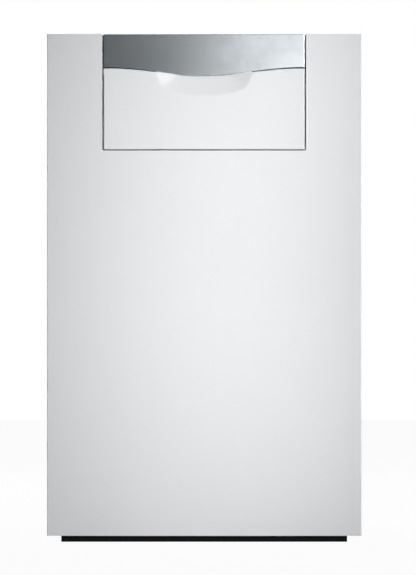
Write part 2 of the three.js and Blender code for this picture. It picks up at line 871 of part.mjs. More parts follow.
// Drain cock under the return pipe, with a lever that turns on its back face.
const drainInset = 17;
const drainY = waterPipeBack - drainInset;
const drainBossRadius = 11;
const drainBossDrop = 27;
const drainBodyRadius = 10;
const drainBodyLength = 30;
const drainHexLength = 9;
const drainTailRadius = 7;
const drainTailLength = 20;
const drainTailBore = 3.5;
const leverHubRadius = 6.5;
const leverHubDepth = 7;
const leverLength = 34;
const leverHalfWidth = 4;
const leverThickness = 3;
const leverNeck = 3;
const drainTop = lowerPortZ - drainBossDrop - fit;
const drainBottom = drainTop - drainHexLength - drainBodyLength;
const leverZ = drainTop - drainHexLength - drainBodyLength / 2;
const leverFront = drainY + drainBodyRadius + leverNeck + fit;

function returnPipe() {
  const boss = round(
    "z",
    drainBossRadius,
    [lowerPortZ - drainBossDrop, lowerPortZ],
    waterPipeX,
    drainY,
    smallSides,
  );
  return waterPipe(lowerPortZ, [boss]);
}

add("return_pipe", returnPipe(), copperPipe);

function drainCock() {
  const hexBottom = drainTop - drainHexLength;
  const tailBottom = drainBottom - drainTailLength;
  const hexagon = round("z", drainBossRadius, [hexBottom, drainTop], waterPipeX, drainY, hexSides);
  const body = turned(
    "z",
    [
      [0, tailBottom],
      [drainTailRadius - hoodSheet, tailBottom],
      [drainTailRadius, tailBottom + drainTailLength / 3],
      [drainTailRadius - hoodSheet, tailBottom + drainTailLength / 2],
      [drainTailRadius, drainBottom - hoodSheet],
      [drainBodyRadius, drainBottom],
      [drainBodyRadius, hexBottom + hoodSheet],
      [0, hexBottom + hoodSheet],
    ],
    waterPipeX,
    drainY,
    smallSides,
  );
  const spindle = round(
    "y",
    leverHubRadius,
    [drainY, drainY + drainBodyRadius + leverNeck],
    waterPipeX,
    leverZ,
    smallSides,
  );
  const bore = round("z", drainTailBore, [tailBottom - overrun, drainTop + overrun], waterPipeX, drainY, smallSides);
  return join([hexagon, body, spindle]).subtract(bore);
}

add("drain_cock", drainCock(), brass);

function drainLever() {
  const hub = round("y", leverHubRadius, [leverFront, leverFront + leverHubDepth], waterPipeX, leverZ, smallSides);
  const armBack = leverFront + leverHubDepth;
  const arm = prism(
    "y",
    roundedRectangle(
      about(waterPipeX, leverHalfWidth),
      [leverZ - leverLength, leverZ + leverHalfWidth],
      leverHalfWidth - fit,
    ),
    [armBack - leverThickness, armBack],
    3,
  );
  return hub.add(arm);
}

add("drain_cock_lever", drainLever(), darkPlastic);

// Gas pipe: straight from the gas valve to the back, with a bare three quarter inch male end.
const valveSideRoom = 8;
const valveWidth = 72;
const valveFront = 50;
const valveDepth = 66;
const valveBottom = 108;
const valveHeight = 80;
const valveX = [valveSideRoom - halfWidth, valveSideRoom + valveWidth - halfWidth];
const valveY = [valveFront, valveFront + valveDepth];
const valveZ = [valveBottom, valveBottom + valveHeight];
const coilRadius = 15;
const coilHeight = 34;
const coilSpacing = 34;
const nippleRadius = 4.5;
const nippleLength = 9;
const manifoldY = 78;
const manifoldZ = 165;
const manifoldHalf = 13;
const manifoldWall = 2.5;

function gasPipe() {
  const from = valveY[1] + fit;
  const unionFrom = casingDepth + unionGap;
  return join([
    round("y", gasPipeRadius, [from, gasPipeBack], gasPipeX, gasPipeZ, smallSides),
    round("y", unionRadius - drainBossRadius / 2, [from, from + unionLength], gasPipeX, gasPipeZ, hexSides),
    round("y", unionRadius - drainBossRadius / 2, [unionFrom, unionFrom + unionLength], gasPipeX, gasPipeZ, hexSides),
  ]).subtract(round("y", gasBoreRadius, [from - overrun, gasPipeBack + overrun], gasPipeX, gasPipeZ, smallSides));
}

add("gas_pipe", gasPipe(), copperPipe);

// Gas valve: a die-cast body with two solenoid coils on top, an outlet flange to the right and two
// pressure test nipples on the front.
function gasValve() {
  const middleX = (valveX[0] + valveX[1]) / 2;
  const middleY = (valveY[0] + valveY[1]) / 2;
  const corner = nippleRadius;
  const body = prism("z", roundedRectangle(valveX, valveY, corner), valveZ, 3);
  const coils = [-1, 1].map((side) =>
    round(
      "z",
      coilRadius,
      [valveZ[1] - corner, valveZ[1] + coilHeight],
      middleX + (side * coilSpacing) / 2,
      middleY,
      smallSides,
    ),
  );
  const nipples = [-1, 1].map((side) =>
    round(
      "y",
      nippleRadius,
      [valveY[0] - nippleLength, valveY[0] + corner],
      middleX + (side * coilSpacing) / 2,
      valveZ[0] + coilRadius,
      smallSides,
    ),
  );
  const plug = round(
    "y",
    coilRadius - corner,
    [valveY[0] - nippleLength / 2, valveY[0] + corner],
    middleX,
    valveZ[1] - coilRadius - corner,
    smallSides,
  );
  return join([body, ...coils, ...nipples, plug]);
}

add("gas_valve", gasValve(), galvanised);

// Burners: three pressed steel bars under the flue ways, open at their bell mouths and slotted along their
// flat tops.
const burnerCount = sectionCount - 1;
const burnerHalfWidth = 13;
const burnerTop = 184;
const burnerBottom = 146;
const burnerWall = 1.5;
const burnerCorner = 5;
const burnerRearRoom = 20;
const burnerTubeFront = 150;
const burnerMouthFront = 108;
const throatRadius = 12;
const mouthRadius = 14;
const slotCount = 9;
const slotLength = 14;
const slotWidth = 4;
const slotMargin = 26;
const burnerPlateSheet = 2.5;
const burnerPlateBottom = 96;
const injectorRadius = 5;
const injectorGap = 4;
const sightZ = 205;
const sightRadius = 9;
const sightRim = 4;
const electrodeZ = 205;
const electrodeSpacing = 24;
const electrodeRadius = 4.5;
const electrodeFlange = 8;
const electrodeReach = 30;
const electrodeTip = 52;
const electrodeRodRadius = 1.4;
const burnerBack = blockBack - burnerRearRoom;
const sightX = -sectionPitch / 2;
const electrodeX = sectionPitch / 2;
const burnerPlateBack = blockFront - fit;
const burnerPlateFront = burnerPlateBack - burnerPlateSheet;
const burnerMiddleZ = (burnerTop + burnerBottom) / 2;
const burnerX = Array.from({ length: burnerCount }, (_, i) => -blockHalf + (i + 1) * sectionPitch);

function burnerTube(x) {
  const capsule = (inset) =>
    roundedRectangle(
      about(x, burnerHalfWidth - inset),
      [burnerBottom + inset, burnerTop - inset],
      burnerCorner - inset,
    );
  const tube = prism("y", capsule(0), [burnerTubeFront, burnerBack], cornerSteps);
  const tubeHollow = prism("y", capsule(burnerWall), [burnerTubeFront + burnerWall, burnerBack - burnerWall], cornerSteps);
  const venturi = (wall) =>
    turned(
      "y",
      [
        [0, burnerMouthFront - wall],
        [mouthRadius - wall, burnerMouthFront - wall],
        [throatRadius - wall, burnerPlateBack + burnerWall],
        [throatRadius - wall, burnerTubeFront + burnerWall + wall],
        [0, burnerTubeFront + burnerWall + wall],
      ],
      x,
      burnerMiddleZ,
      smallSides,
    );
  const slotSpan = burnerBack - burnerTubeFront - 2 * slotMargin;
  const slots = [];
  for (let i = 0; i < slotCount; i += 1) {
    const y = burnerTubeFront + slotMargin + (slotSpan * i) / (slotCount - 1);
    slots.push(block(about(x, slotLength / 2), about(y, slotWidth / 2), [burnerMiddleZ, burnerTop + overrun]));
  }
  return cut(join([tube, venturi(0)]), [tubeHollow, venturi(burnerWall), ...slots]);
}

burnerX.forEach((x, index) => {
  add("burner_tube_" + (index + 1), burnerTube(x), stainless);
});

// Rail that carries the back ends of the burners between the end castings.
const burnerRailWidth = 20;
const burnerRailInset = 14;

function burnerRearRail() {
  const x = about(0, blockHalf - chamberWall - fit);
  const back = burnerBack - burnerRailInset;
  const top = burnerBottom - fit;
  return join([
    block(x, [back - burnerRailWidth, back], [top - frameSheet, top]),
    block(x, [back - frameSheet, back], [top - burnerRailWidth, top]),
  ]);
}

add("burner_rear_rail", burnerRearRail(), galvanised);

// Front plate of the combustion chamber, with holes for the burners, the electrodes and the sight glass.
function burnerFrontPlate() {
  const through = [burnerPlateFront - overrun, burnerPlateBack + overrun];
  const mouthAtPlate = throatRadius +
    ((mouthRadius - throatRadius) * (burnerPlateBack + burnerWall - burnerPlateFront)) /
      (burnerPlateBack + burnerWall - burnerMouthFront);
  const plate = block(
    about(0, blanketOuter),
    [burnerPlateFront, burnerPlateBack],
    [burnerPlateBottom, burnerPlateTop],
  );
  const holes = burnerX.map((x) => round("y", mouthAtPlate + fit, through, x, burnerMiddleZ, smallSides));
  const electrodes = [0, electrodeSpacing].map((step) =>
    round("y", electrodeRadius + fit, through, electrodeX + step, electrodeZ, smallSides),
  );
  const sight = round("y", sightRadius, through, sightX, sightZ, smallSides);
  return cut(plate, [...holes, ...electrodes, sight]);
}

add("burner_front_plate", burnerFrontPlate(), galvanised);

// Gas manifold: a square tube with an injector in front of each burner's bell mouth. Two brackets fasten it
// to the front plate, between the burners.
const bracketThickness = 3;
const bracketHalfHeight = 9;
const bracketFootHalf = 9;

function gasManifold() {
  const end = burnerX[burnerX.length - 1] + 2 * manifoldHalf;
  const start = valveX[1] + fit;
  const injectorTip = burnerMouthFront - injectorGap;
  const tube = block([start, end], about(manifoldY, manifoldHalf), about(manifoldZ, manifoldHalf));
  const inside = manifoldHalf - manifoldWall;
  const hollow = block([start - overrun, end - manifoldWall], about(manifoldY, inside), about(manifoldZ, inside));
  const flange = block(
    [start, start + 2 * manifoldWall],
    about(manifoldY, manifoldHalf + 2 * manifoldWall),
    about(manifoldZ, manifoldHalf + 2 * manifoldWall),
  );
  const injectors = burnerX.flatMap((x) => [
    round("y", injectorRadius * 1.5, [manifoldY + manifoldHalf - fit, manifoldY + manifoldHalf + injectorRadius], x,
      manifoldZ, hexSides),
    round("y", injectorRadius, [manifoldY + manifoldHalf - fit, injectorTip], x, manifoldZ, smallSides),
  ]);
  const plateSeat = burnerPlateFront - fit;
  const brackets = [-1, 1].flatMap((side) => {
    const middle = (side * sectionPitch) / 2;
    const height = about(manifoldZ, bracketHalfHeight);
    return [
      block(about(middle, bracketThickness / 2), [manifoldY + inside, plateSeat], height),
      block(about(middle, bracketFootHalf), [plateSeat - bracketThickness, plateSeat], height),
    ];
  });
  return cut(join([tube, flange, ...brackets, ...injectors]), [hollow]);
}

add("gas_manifold", gasManifold(), galvanised);

// Sight glass with its rim in front of the plate.
function sightGlass() {
  const rimBack = burnerPlateFront - fit;
  return join([
    round("y", sightRadius + sightRim, [rimBack - sightRim, rimBack], sightX, sightZ, roundSides),
    round("y", sightRadius - fit, [rimBack - fit, burnerPlateBack], sightX, sightZ, smallSides),
  ]);
}

add("sight_glass", sightGlass(), clearPlastic);

// Electrodes: a ceramic body with a flange on the plate and a steel rod that reaches over the burner.
function electrode(x) {
  const flangeBack = burnerPlateFront - fit;
  return turned(
    "y",
    [
      [0, flangeBack - electrodeReach / 2],
      [electrodeRadius - electrodeRodRadius, flangeBack - electrodeReach / 2],
      [electrodeRadius, flangeBack - sightRim],
      [electrodeFlange, flangeBack - sightRim],
      [electrodeFlange, flangeBack],
      [electrodeRadius, flangeBack],
      [electrodeRadius, flangeBack + electrodeReach],
      [electrodeRodRadius, flangeBack + electrodeReach],
      [electrodeRodRadius, flangeBack + electrodeTip],
      [0, flangeBack + electrodeTip],
    ],
    x,
    electrodeZ,
    tinySides,
  );
}

add("ignition_electrode", electrode(electrodeX), ceramic);
add("monitoring_electrode", electrode(electrodeX + electrodeSpacing), ceramic);

// Heat shield: a tray under the burners, on the cross rails between the castings' feet.
const shieldGap = 8;
const shieldSheet = 1.5;
const shieldEdge = 14;
const shieldInset = 10;

function heatShield() {
  const shieldHalf = blockHalf - chamberWall - shieldGap;
  const y = [blockFront + shieldInset, blockBack - shieldInset];
  const bottom = frameHeight + fit;
  const tray = block(about(0, shieldHalf), y, [bottom, bottom + shieldEdge]);
  const hollow = block(
    about(0, shieldHalf - shieldSheet),
    [y[0] + shieldSheet, y[1] - shieldSheet],
    [bottom + shieldSheet, bottom + shieldEdge + overrun],
  );
  return tray.subtract(hollow);
}

add("heat_shield", heatShield(), galvanised);

// Control housing: an open-fronted box on the front rail, with cable slots low in its back.
const housingInset = 8.2;
const housingDepth = 172;
const housingHeight = 163;
const housingWall = 2.5;
const housingSlotHalf = 30;
const housingSlotHeight = 16;
const housingHalf = openingHalf - housingInset;
const housingBack = housingFront + housingDepth;
const housingTop = housingBottom + housingHeight;

function controlHousing() {
  const box = block(about(0, housingHalf), [housingFront, housingBack], [housingBottom, housingTop]);
  const hollow = block(
    about(0, housingHalf - housingWall),
    [housingFront - overrun, housingBack - housingWall],
    [housingBottom + housingWall, housingTop - housingWall],
  );
  const slots = [-1, 1].map((side) =>
    block(
      about((side * housingHalf) / 2, housingSlotHalf),
      [housingBack - overrun, housingBack + overrun],
      [housingBottom + 3 * housingWall, housingBottom + 3 * housingWall + housingSlotHeight],
    ),
  );
  return cut(box, [hollow, ...slots]);
}

add("control_housing", controlHousing(), darkPlastic);

// Main circuit board on four pillars, with its transformer, relays and terminal block.
const boardInset = 20;
const boardHalf = housingHalf - boardInset;
const boardThickness = 1.6;
const boardMargin = 14;
const pillarHeight = 8;
const pillarRadius = 3;
const transformerSize = 44;
const transformerHeight = 36;
const relaySize = 16;
const relayHeight = 20;
const relayCount = 4;
const terminalHeight = 14;
const terminalDepth = 16;

function mainBoard() {
  const floor = housingBottom + housingWall + fit;
  const y = [housingFront + boardMargin, housingBack - boardMargin];
  const top = floor + pillarHeight + boardThickness;
  const board = block(about(0, boardHalf), y, [floor + pillarHeight, top]);
  const pillars = [-1, 1].flatMap((side) =>
    [y[0] + boardMargin, y[1] - boardMargin].map((at) =>
      round("z", pillarRadius, [floor, floor + pillarHeight + fit], side * (boardHalf - boardMargin), at, tinySides),
    ),
  );
  const rooted = top - fit;
  const transformer = block(
    [boardHalf - boardMargin - transformerSize, boardHalf - boardMargin],
    about((y[0] + y[1]) / 2, transformerSize / 2),
    [rooted, top + transformerHeight],
  );
  const terminals = block(
    [-boardHalf + boardMargin, boardHalf / 3],
    [y[1] - terminalDepth, y[1] - fit],
    [rooted, top + terminalHeight],
  );
  const relays = Array.from({ length: relayCount }, (_, i) => {
    const left = -boardHalf + 2 * boardMargin + i * relaySize * 1.5;
    return block([left, left + relaySize], about((y[0] + y[1]) / 2, relaySize / 2), [rooted, top + relayHeight]);
  });
  return join([board, ...pillars, transformer, terminals, ...relays]);
}

add("main_board", mainBoard(), boardGreen);

// Control fascia: a plastic tray, open to the front, that fills the notch behind the flap. Two ears at its
// lower corners carry the flap's hinge pins.
const flapDepth = 12;
const flapWall = 2.2;
const hingeY = 6;
const hingeRise = 6;
const earRadius = 2.3;
const earThickness = 3;
const pinRadius = 1.2;
const collarWall = 2.2;
const flapHalf = openingHalf - flapGap;
const flapBottom = openingBottom + flapGap;
const hingeZ = flapBottom + hingeRise;
const earOuter = flapHalf - flapWall - fit;
const earInner = earOuter - earThickness;
const fasciaBack = fasciaDepth + fasciaThickness;

// Places on the fascia: X from its middle, and a rise above the lower edge of the opening
const gaugeX = -112;
const gaugeRise = 128;
const gaugeRadius = 25;
const switchX = -112;
const switchRise = 52;
const switchHalfWidth = 12;
const switchHalfHeight = 17;
const switchFlange = 3;
const leftKnobX = -52;
const rightKnobX = 12;
const knobRise = 50;
const knobRadius = 17;
const knobDepth = 14;
const knobShaftRadius = 3;
const displayX = -20;
const displayRise = 138;
const displayHalfWidth = 42;
const displayHalfHeight = 20;
const firstKeyX = -53;
const keyPitch = 22;
const keyRise = 98;
const keyHalfWidth = 7;
const keyHalfHeight = 4.5;
const keyProud = 3;
const keyLip = 1.8;
const keyLipThickness = 1.5;
const blankX = 96;
const blankRise = 98;
const blankHalfWidth = 52;
const blankHalfHeight = 46;
const gaugeZ = openingBottom + gaugeRise;
const switchZ = openingBottom + switchRise;
const knobZ = openingBottom + knobRise;
const displayZ = openingBottom + displayRise;
const keyZ = openingBottom + keyRise;
const blankZ = openingBottom + blankRise;
const knobPlaces = [
  ["left_knob", leftKnobX],
  ["right_knob", rightKnobX],
];
const keyNames = ["info_button", "minus_button", "plus_button", "reset_button"];
const keyPlaces = keyNames.map((name, index) => [name, firstKeyX + index * keyPitch]);

function controlFascia() {
  const tray = block(about(0, flapHalf), [flapDepth + seam, fasciaBack], [flapBottom, overallHeight]);
  const hollow = block(
    about(0, flapHalf - collarWall),
    [0, fasciaDepth],
    [flapBottom + collarWall, overallHeight - collarWall],
  );
  const through = [fasciaDepth - overrun, fasciaBack + overrun];
  const windows = [
    block(about(displayX, displayHalfWidth), through, about(displayZ, displayHalfHeight)),
    block(about(switchX, switchHalfWidth), through, about(switchZ, switchHalfHeight)),
    block(about(blankX, blankHalfWidth), through, about(blankZ, blankHalfHeight)),
    round("y", gaugeRadius, through, gaugeX, gaugeZ, fineSides),
    ...knobPlaces.map(([, x]) => round("y", knobShaftRadius + fit, through, x, knobZ, smallSides)),
    ...keyPlaces.map(([, x]) => block(about(x, keyHalfWidth + fit), through, about(keyZ, keyHalfHeight + fit))),
  ];
  const swing = Math.hypot(flapDepth - hingeY, hingeRise) + fit;
  const relief = block(
    about(0, flapHalf + overrun),
    [flapDepth, hingeY + swing],
    [flapBottom - overrun, hingeZ + hingeRise],
  );
  const ears = [-1, 1].map((side) => {
    const x = onSide(side, [earInner, earOuter]);
    return join([
      round("x", earRadius, x, hingeY, hingeZ, tinySides),
      block(x, [hingeY, fasciaDepth + fit], about(hingeZ, earRadius)),
    ]);
  });
  const pinHoles = round("x", pinRadius + fit, about(0, flapHalf), hingeY, hingeZ, tinySides);
  return cut(join([cut(tray, [hollow, relief, ...windows]), ...ears]), [pinHoles]);
}

add("control_fascia", controlFascia(), greyPlastic);

// Hinge pins through the ears and the flap's side walls.
for (const [name, side] of [["hinge_pin_left", -1], ["hinge_pin_right", 1]]) {
  const x = onSide(side, [earInner, flapHalf - fit]);
  add(name, round("x", pinRadius, x, hingeY, hingeZ, tinySides), stainless);
}

// Display: a clear window in the fascia with the panel behind it.
const lcdThickness = 6;

add(
  "display_window",
  block(
    about(displayX, displayHalfWidth - fit),
    [fasciaDepth - fit, fasciaBack],
    about(displayZ, displayHalfHeight - fit),
  ),
  clearPlastic,
);
add(
  "lcd_display",
  block(
    about(displayX, displayHalfWidth + collarWall),
    [fasciaBack + fit, fasciaBack + fit + lcdThickness],
    about(displayZ, displayHalfHeight + collarWall),
  ),
  darkPlastic,
);

// Pressure gauge: a round case in the fascia, a pointer on its middle post, and a glass in its rim.
const gaugeBackDepth = 20;
const gaugeRimProud = 2.5;
const gaugeRim = 2.5;
const dialDepth = 7;
const gaugeFlange = 4;
const postRadius = 2;
const pointerHub = 3.2;
const pointerThickness = 0.8;
const pointerHalfWidth = 1.1;
const pointerTailShare = 0.35;
const glassThickness = 1.4;
const gaugeFront = fasciaDepth - gaugeRimProud;
const dialY = gaugeFront + dialDepth;
const dialRadius = gaugeRadius - fit - gaugeRim;
const pointerY = dialY - fit - pointerThickness;

function gaugeCase() {
  const outer = gaugeRadius - fit;
  const flangeFront = fasciaBack + fit;
  return turned(
    "y",
    [
      [0, dialY],
      [dialRadius, dialY],
      [dialRadius, gaugeFront],
      [outer, gaugeFront],
      [outer, flangeFront],
      [outer + gaugeFlange, flangeFront],
      [outer + gaugeFlange, flangeFront + gaugeRim],
      [outer, flangeFront + gaugeRim],
      [outer, fasciaDepth + gaugeBackDepth],
      [0, fasciaDepth + gaugeBackDepth],
    ],
    gaugeX,
    gaugeZ,
    fineSides,
  );
}

add("gauge_case", gaugeCase(), darkPlastic);

// The pointer is drawn upright about its hub and rests on its stop at the lower left.
const pointerRest = THREE.MathUtils.degToRad(-135);

function gaugeNeedle() {
  const length = dialRadius - 2 * gaugeRim;
  const tail = length * pointerTailShare;
  const blade = outlineOf([
    [-pointerHalfWidth, -tail],
    [pointerHalfWidth, -tail],
    [pointerHalfWidth / 3, length],
    [-pointerHalfWidth / 3, length],
  ]);
  const hub = round("y", pointerHub, [-postRadius / 2, pointerThickness], 0, 0, smallSides);
  return prism("y", blade, [0, pointerThickness]).add(hub);
}

const pointer = add("gauge_needle", gaugeNeedle(), redPlastic);
pointer.position.set(gaugeX, pointerY, gaugeZ);
pointer.rotation.y = pointerRest;

add(
  "gauge_glass",
  round("y", dialRadius - fit, [gaugeFront + fit, gaugeFront + fit + glassThickness], gaugeX, gaugeZ, fineSides),
  clearPlastic,
);

// Mains switch: a frame through the fascia and a rocker that rests tilted to one side.
const switchBackDepth = 22;
const rockerSideWall = 2.4;
const rockerTilt = THREE.MathUtils.degToRad(7);
const rockerPivotDepth = 5;
const rockerRise = 5.5;
const rockerRadius = 5;
const rockerEndGap = 1.2;
const rockerHalfHeight = switchHalfHeight - fit - rockerSideWall - rockerEndGap;
const rockerPivotY = fasciaDepth + rockerPivotDepth;

function switchFrame() {
  const back = fasciaDepth + switchBackDepth;
  const body = block(
    about(switchX, switchHalfWidth - fit),
    [fasciaDepth - switchFlange / 2, back],
    about(switchZ, switchHalfHeight - fit),
  );
  const flange = block(
    about(switchX, switchHalfWidth + switchFlange),
    [fasciaDepth - switchFlange, fasciaDepth - fit],
    about(switchZ, switchHalfHeight + switchFlange),
  );
  const well = block(
    about(switchX, switchHalfWidth - fit - rockerSideWall),
    [fasciaDepth - 2 * switchFlange, rockerPivotY + rockerRadius + fit],
    about(switchZ, switchHalfHeight - fit - rockerSideWall),
  );
  return body.add(flange).subtract(well);
}

add("switch_frame", switchFrame(), darkPlastic);

// The rocker's side view about its pivot: a shallow V in front, a round back.
function mainsRocker() {
  const profile = new THREE.Shape();
  profile.moveTo(-rockerRise, -rockerHalfHeight);
  profile.lineTo(-rockerRise, rockerHalfHeight);
  profile.lineTo(-rockerRise + rockerSideWall, rockerHalfHeight);
  profile.lineTo(0, rockerRadius);
  profile.absarc(0, 0, rockerRadius, 0.5 * Math.PI, -0.5 * Math.PI, true);
  profile.lineTo(-rockerRise + rockerSideWall, -rockerHalfHeight);
  profile.closePath();
  const body = prism("x", profile, about(0, switchHalfWidth - 2 * fit - rockerSideWall), 5);
  const valley = prism(
    "x",
    outlineOf([
      [-rockerRise - overrun, -rockerHalfHeight - overrun],
      [-rockerRise, -rockerHalfHeight],
      [-rockerRise + rockerSideWall / 2, 0],
      [-rockerRise, rockerHalfHeight],
      [-rockerRise - overrun, rockerHalfHeight + overrun],
    ]),
    about(0, switchHalfWidth),
  );
  return body.subtract(valley);
}

const rocker = add("mains_rocker", mainsRocker(), redPlastic);
rocker.position.set(switchX, rockerPivotY, switchZ);
rocker.rotation.x = rockerTilt;

// Blank cover over the place for a plug-in controller.
function controllerBlank() {
  const front = fasciaDepth - fit;
  const lap = collarWall;
  return join([
    block(
      about(blankX, blankHalfWidth + lap),
      [front - collarWall, front],
      about(blankZ, blankHalfHeight + lap),
    ),
    block(
      about(blankX, blankHalfWidth - fit),
      [front - fit, fasciaBack],
      about(blankZ, blankHalfHeight - fit),
    ),
  ]);
}

add("controller_blank", controllerBlank(), greyPlastic);

// Rotary knobs: a tapered skirt with a raised grip across it, on a shaft held by a ring behind the fascia.
const knobSkirtDepth = 5;
const knobTaper = 1.5;
const gripHalfWidth = 4;
const knobShaftEnd = 54;
const knobRing = 2.2;

function rotaryKnob(x) {
  const back = fasciaDepth - fit;
  const skirtFront = back - knobSkirtDepth;
  const ringFront = fasciaBack + fit;
  const body = turned(
    "y",
    [
      [0, skirtFront],
      [knobRadius - knobTaper, skirtFront],
      [knobRadius, back],
      [knobShaftRadius, back],
      [knobShaftRadius, ringFront],
      [knobShaftRadius + knobRing, ringFront],
      [knobShaftRadius + knobRing, ringFront + knobTaper],
      [knobShaftRadius, ringFront + knobTaper],
      [knobShaftRadius, knobShaftEnd],
      [0, knobShaftEnd],
    ],
    x,
    knobZ,
    roundSides,
  );
  const crown = turned(
    "y",
    [
      [0, back - knobDepth],
      [knobRadius - 3 * knobTaper, back - knobDepth],
      [knobRadius - knobTaper, skirtFront + fit],
      [0, skirtFront + fit],
    ],
    x,
    knobZ,
    roundSides,
  );
  const grip = block(
    about(x, gripHalfWidth),
    [back - knobDepth - overrun, skirtFront + fit],
    about(knobZ, knobRadius),
  );
  return body.add(crown.intersect(grip));
}

for (const [name, x] of knobPlaces) {
  add(name, rotaryKnob(x), darkPlastic);
}

// Push buttons, each kept in the fascia by a lip behind it.
function pushButton(x) {
  const lipFront = fasciaBack + fit;
  return join([
    block(about(x, keyHalfWidth), [fasciaDepth - keyProud, lipFront + fit], about(keyZ, keyHalfHeight)),
    block(
      about(x, keyHalfWidth + keyLip),
      [lipFront, lipFront + keyLipThickness],
      about(keyZ, keyHalfHeight + keyLip),
    ),
  ]);
}

for (const [name, x] of keyPlaces) {
  add(name, pushButton(x), name === "reset_button" ? redPlastic : whitePlastic);
}

// Flap: a white pan that closes the notch, with a silver band clipped over its upper part. Below the band's
// curved edge a scooped grip lets the fingers reach up behind the band.
const bandEdge = 56;
const bandDip = 12;
const bandWall = 2.5;
const bandLineGap = 1;
const bandSteps = 20;
const flapEdgeRadius = 3;
const gripEdgeHalf = 79;
const gripBottomHalf = 64;
const gripDrop = 33;
const gripRise = 16;
const gripDepth = 24;
const gripSideRun = 33;
const gripCorner = 8.5;
const bandTop = overallHeight;

// Height of the band's lower edge: lowest in the middle and level at both sides.
const bandEdgeAt = (x) => bandTop - bandEdge - (bandDip * (1 + Math.cos((Math.PI * x) / flapHalf))) / 2;

// The region above that edge, lowered by a gap, as seen from the front.
function bandFront(lowered) {
  const shape = new THREE.Shape();
  const top = bandTop + overrun;
  shape.moveTo(flapHalf + overrun, top);
  shape.lineTo(-flapHalf - overrun, top);
  shape.lineTo(-flapHalf - overrun, bandEdgeAt(-flapHalf) - lowered);
  for (let step = 0; step <= bandSteps; step += 1) {
    const x = -flapHalf + (2 * flapHalf * step) / bandSteps;
    shape.lineTo(x, bandEdgeAt(x) - lowered);
  }
  shape.lineTo(flapHalf + overrun, bandEdgeAt(flapHalf) - lowered);
  shape.closePath();
  return prism("y", shape, [-overrun, flapDepth + overrun]);
}

// The pan's outside, set in by a wall, with its lower front edge rounded.
function flapBody(inset, back) {
  const radius = flapEdgeRadius - Math.min(inset, flapEdgeRadius / 2);
  const bottom = flapBottom + inset;
  const side = new THREE.Shape();
  side.moveTo(inset, bandTop - inset);
  side.lineTo(inset, bottom + radius);
  side.absarc(inset + radius, bottom + radius, radius, Math.PI, 1.5 * Math.PI, false);
  side.lineTo(back, bottom);
  side.lineTo(back, bandTop - inset);
  side.closePath();
  const plan = prism("z", bowedPlan(flapHalf - inset, inset, back), [bottom, bandTop - inset]);
  return plan.intersect(prism("x", side, about(0, flapHalf), cornerSteps));
}

// The scoop under and behind the band's edge, as a hull; wall makes the shell round it. It widens from its
// floor's lower end past the band's edge, and its lower corners are cut off.
function gripHull(wall) {
  const middleEdge = bandEdgeAt(0);
  const bottom = middleEdge - gripDrop;
  const top = middleEdge + gripRise;
  const halfAt = (z) => gripBottomHalf + ((gripEdgeHalf - gripBottomHalf) * (z - bottom)) / gripDrop;
  const run = (gripSideRun * (top - bottom)) / gripDrop;
  const front = wall > 0 ? flapWall / 2 : -overrun;
  const points = [];
  for (const side of [-1, 1]) {
    for (const y of [front, flapWall / 2]) {
      points.push(new THREE.Vector3(side * (gripBottomHalf - gripCorner + wall), y, bottom - wall));
      points.push(new THREE.Vector3(side * (halfAt(bottom + gripCorner) + wall), y, bottom + gripCorner - wall));
      points.push(new THREE.Vector3(side * (halfAt(top) + wall), y, top + wall));
    }
    points.push(new THREE.Vector3(side * (halfAt(top) - run + wall), gripDepth + wall, top + wall));
  }
  return solid(new ConvexGeometry(points));
}

function flapPanel() {
  const behindBand = bandWall + fit;
  const lower = flapBody(0, flapDepth).subtract(bandFront(bandLineGap));
  const upper = flapBody(behindBand, flapDepth);
  const hollowUpper = flapBody(behindBand + flapWall, flapDepth + overrun);
  const hollowLower = flapBody(flapWall, flapDepth + overrun).subtract(bandFront(bandLineGap + flapWall));
  const pan = lower.add(upper).subtract(hollowUpper.add(hollowLower));
  const slots = [-1, 1].map((side) =>
    block(
      onSide(side, [earInner - 2 * fit, earOuter + fit / 2]),
      [hingeY - earRadius - fit, flapDepth + overrun],
      [flapBottom - overrun, hingeZ],
    ),
  );
  const pinHoles = round("x", pinRadius + fit, about(0, flapHalf + overrun), hingeY, hingeZ, tinySides);
  const bandRoom = flapBody(0, flapDepth).subtract(upper).intersect(bandFront(bandLineGap));
  const scoop = gripHull(flapWall).subtract(bandRoom);
  return cut(pan.add(scoop), [gripHull(0), ...slots, pinHoles]);
}

add("flap_panel", flapPanel(), whitePlastic);

function flapBand() {
  const shell = flapBody(0, flapDepth).subtract(flapBody(bandWall, flapDepth + overrun));
  return shell.intersect(bandFront(0));
}

add("flap_band", flapBand(), silverLacquer);

// The origin lies on the floor under the middle of the boiler.
const boiler = new THREE.Group();
pieces.position.y = -overallDepth / 2;
boiler.add(pieces);

export default boiler;
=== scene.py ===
import math

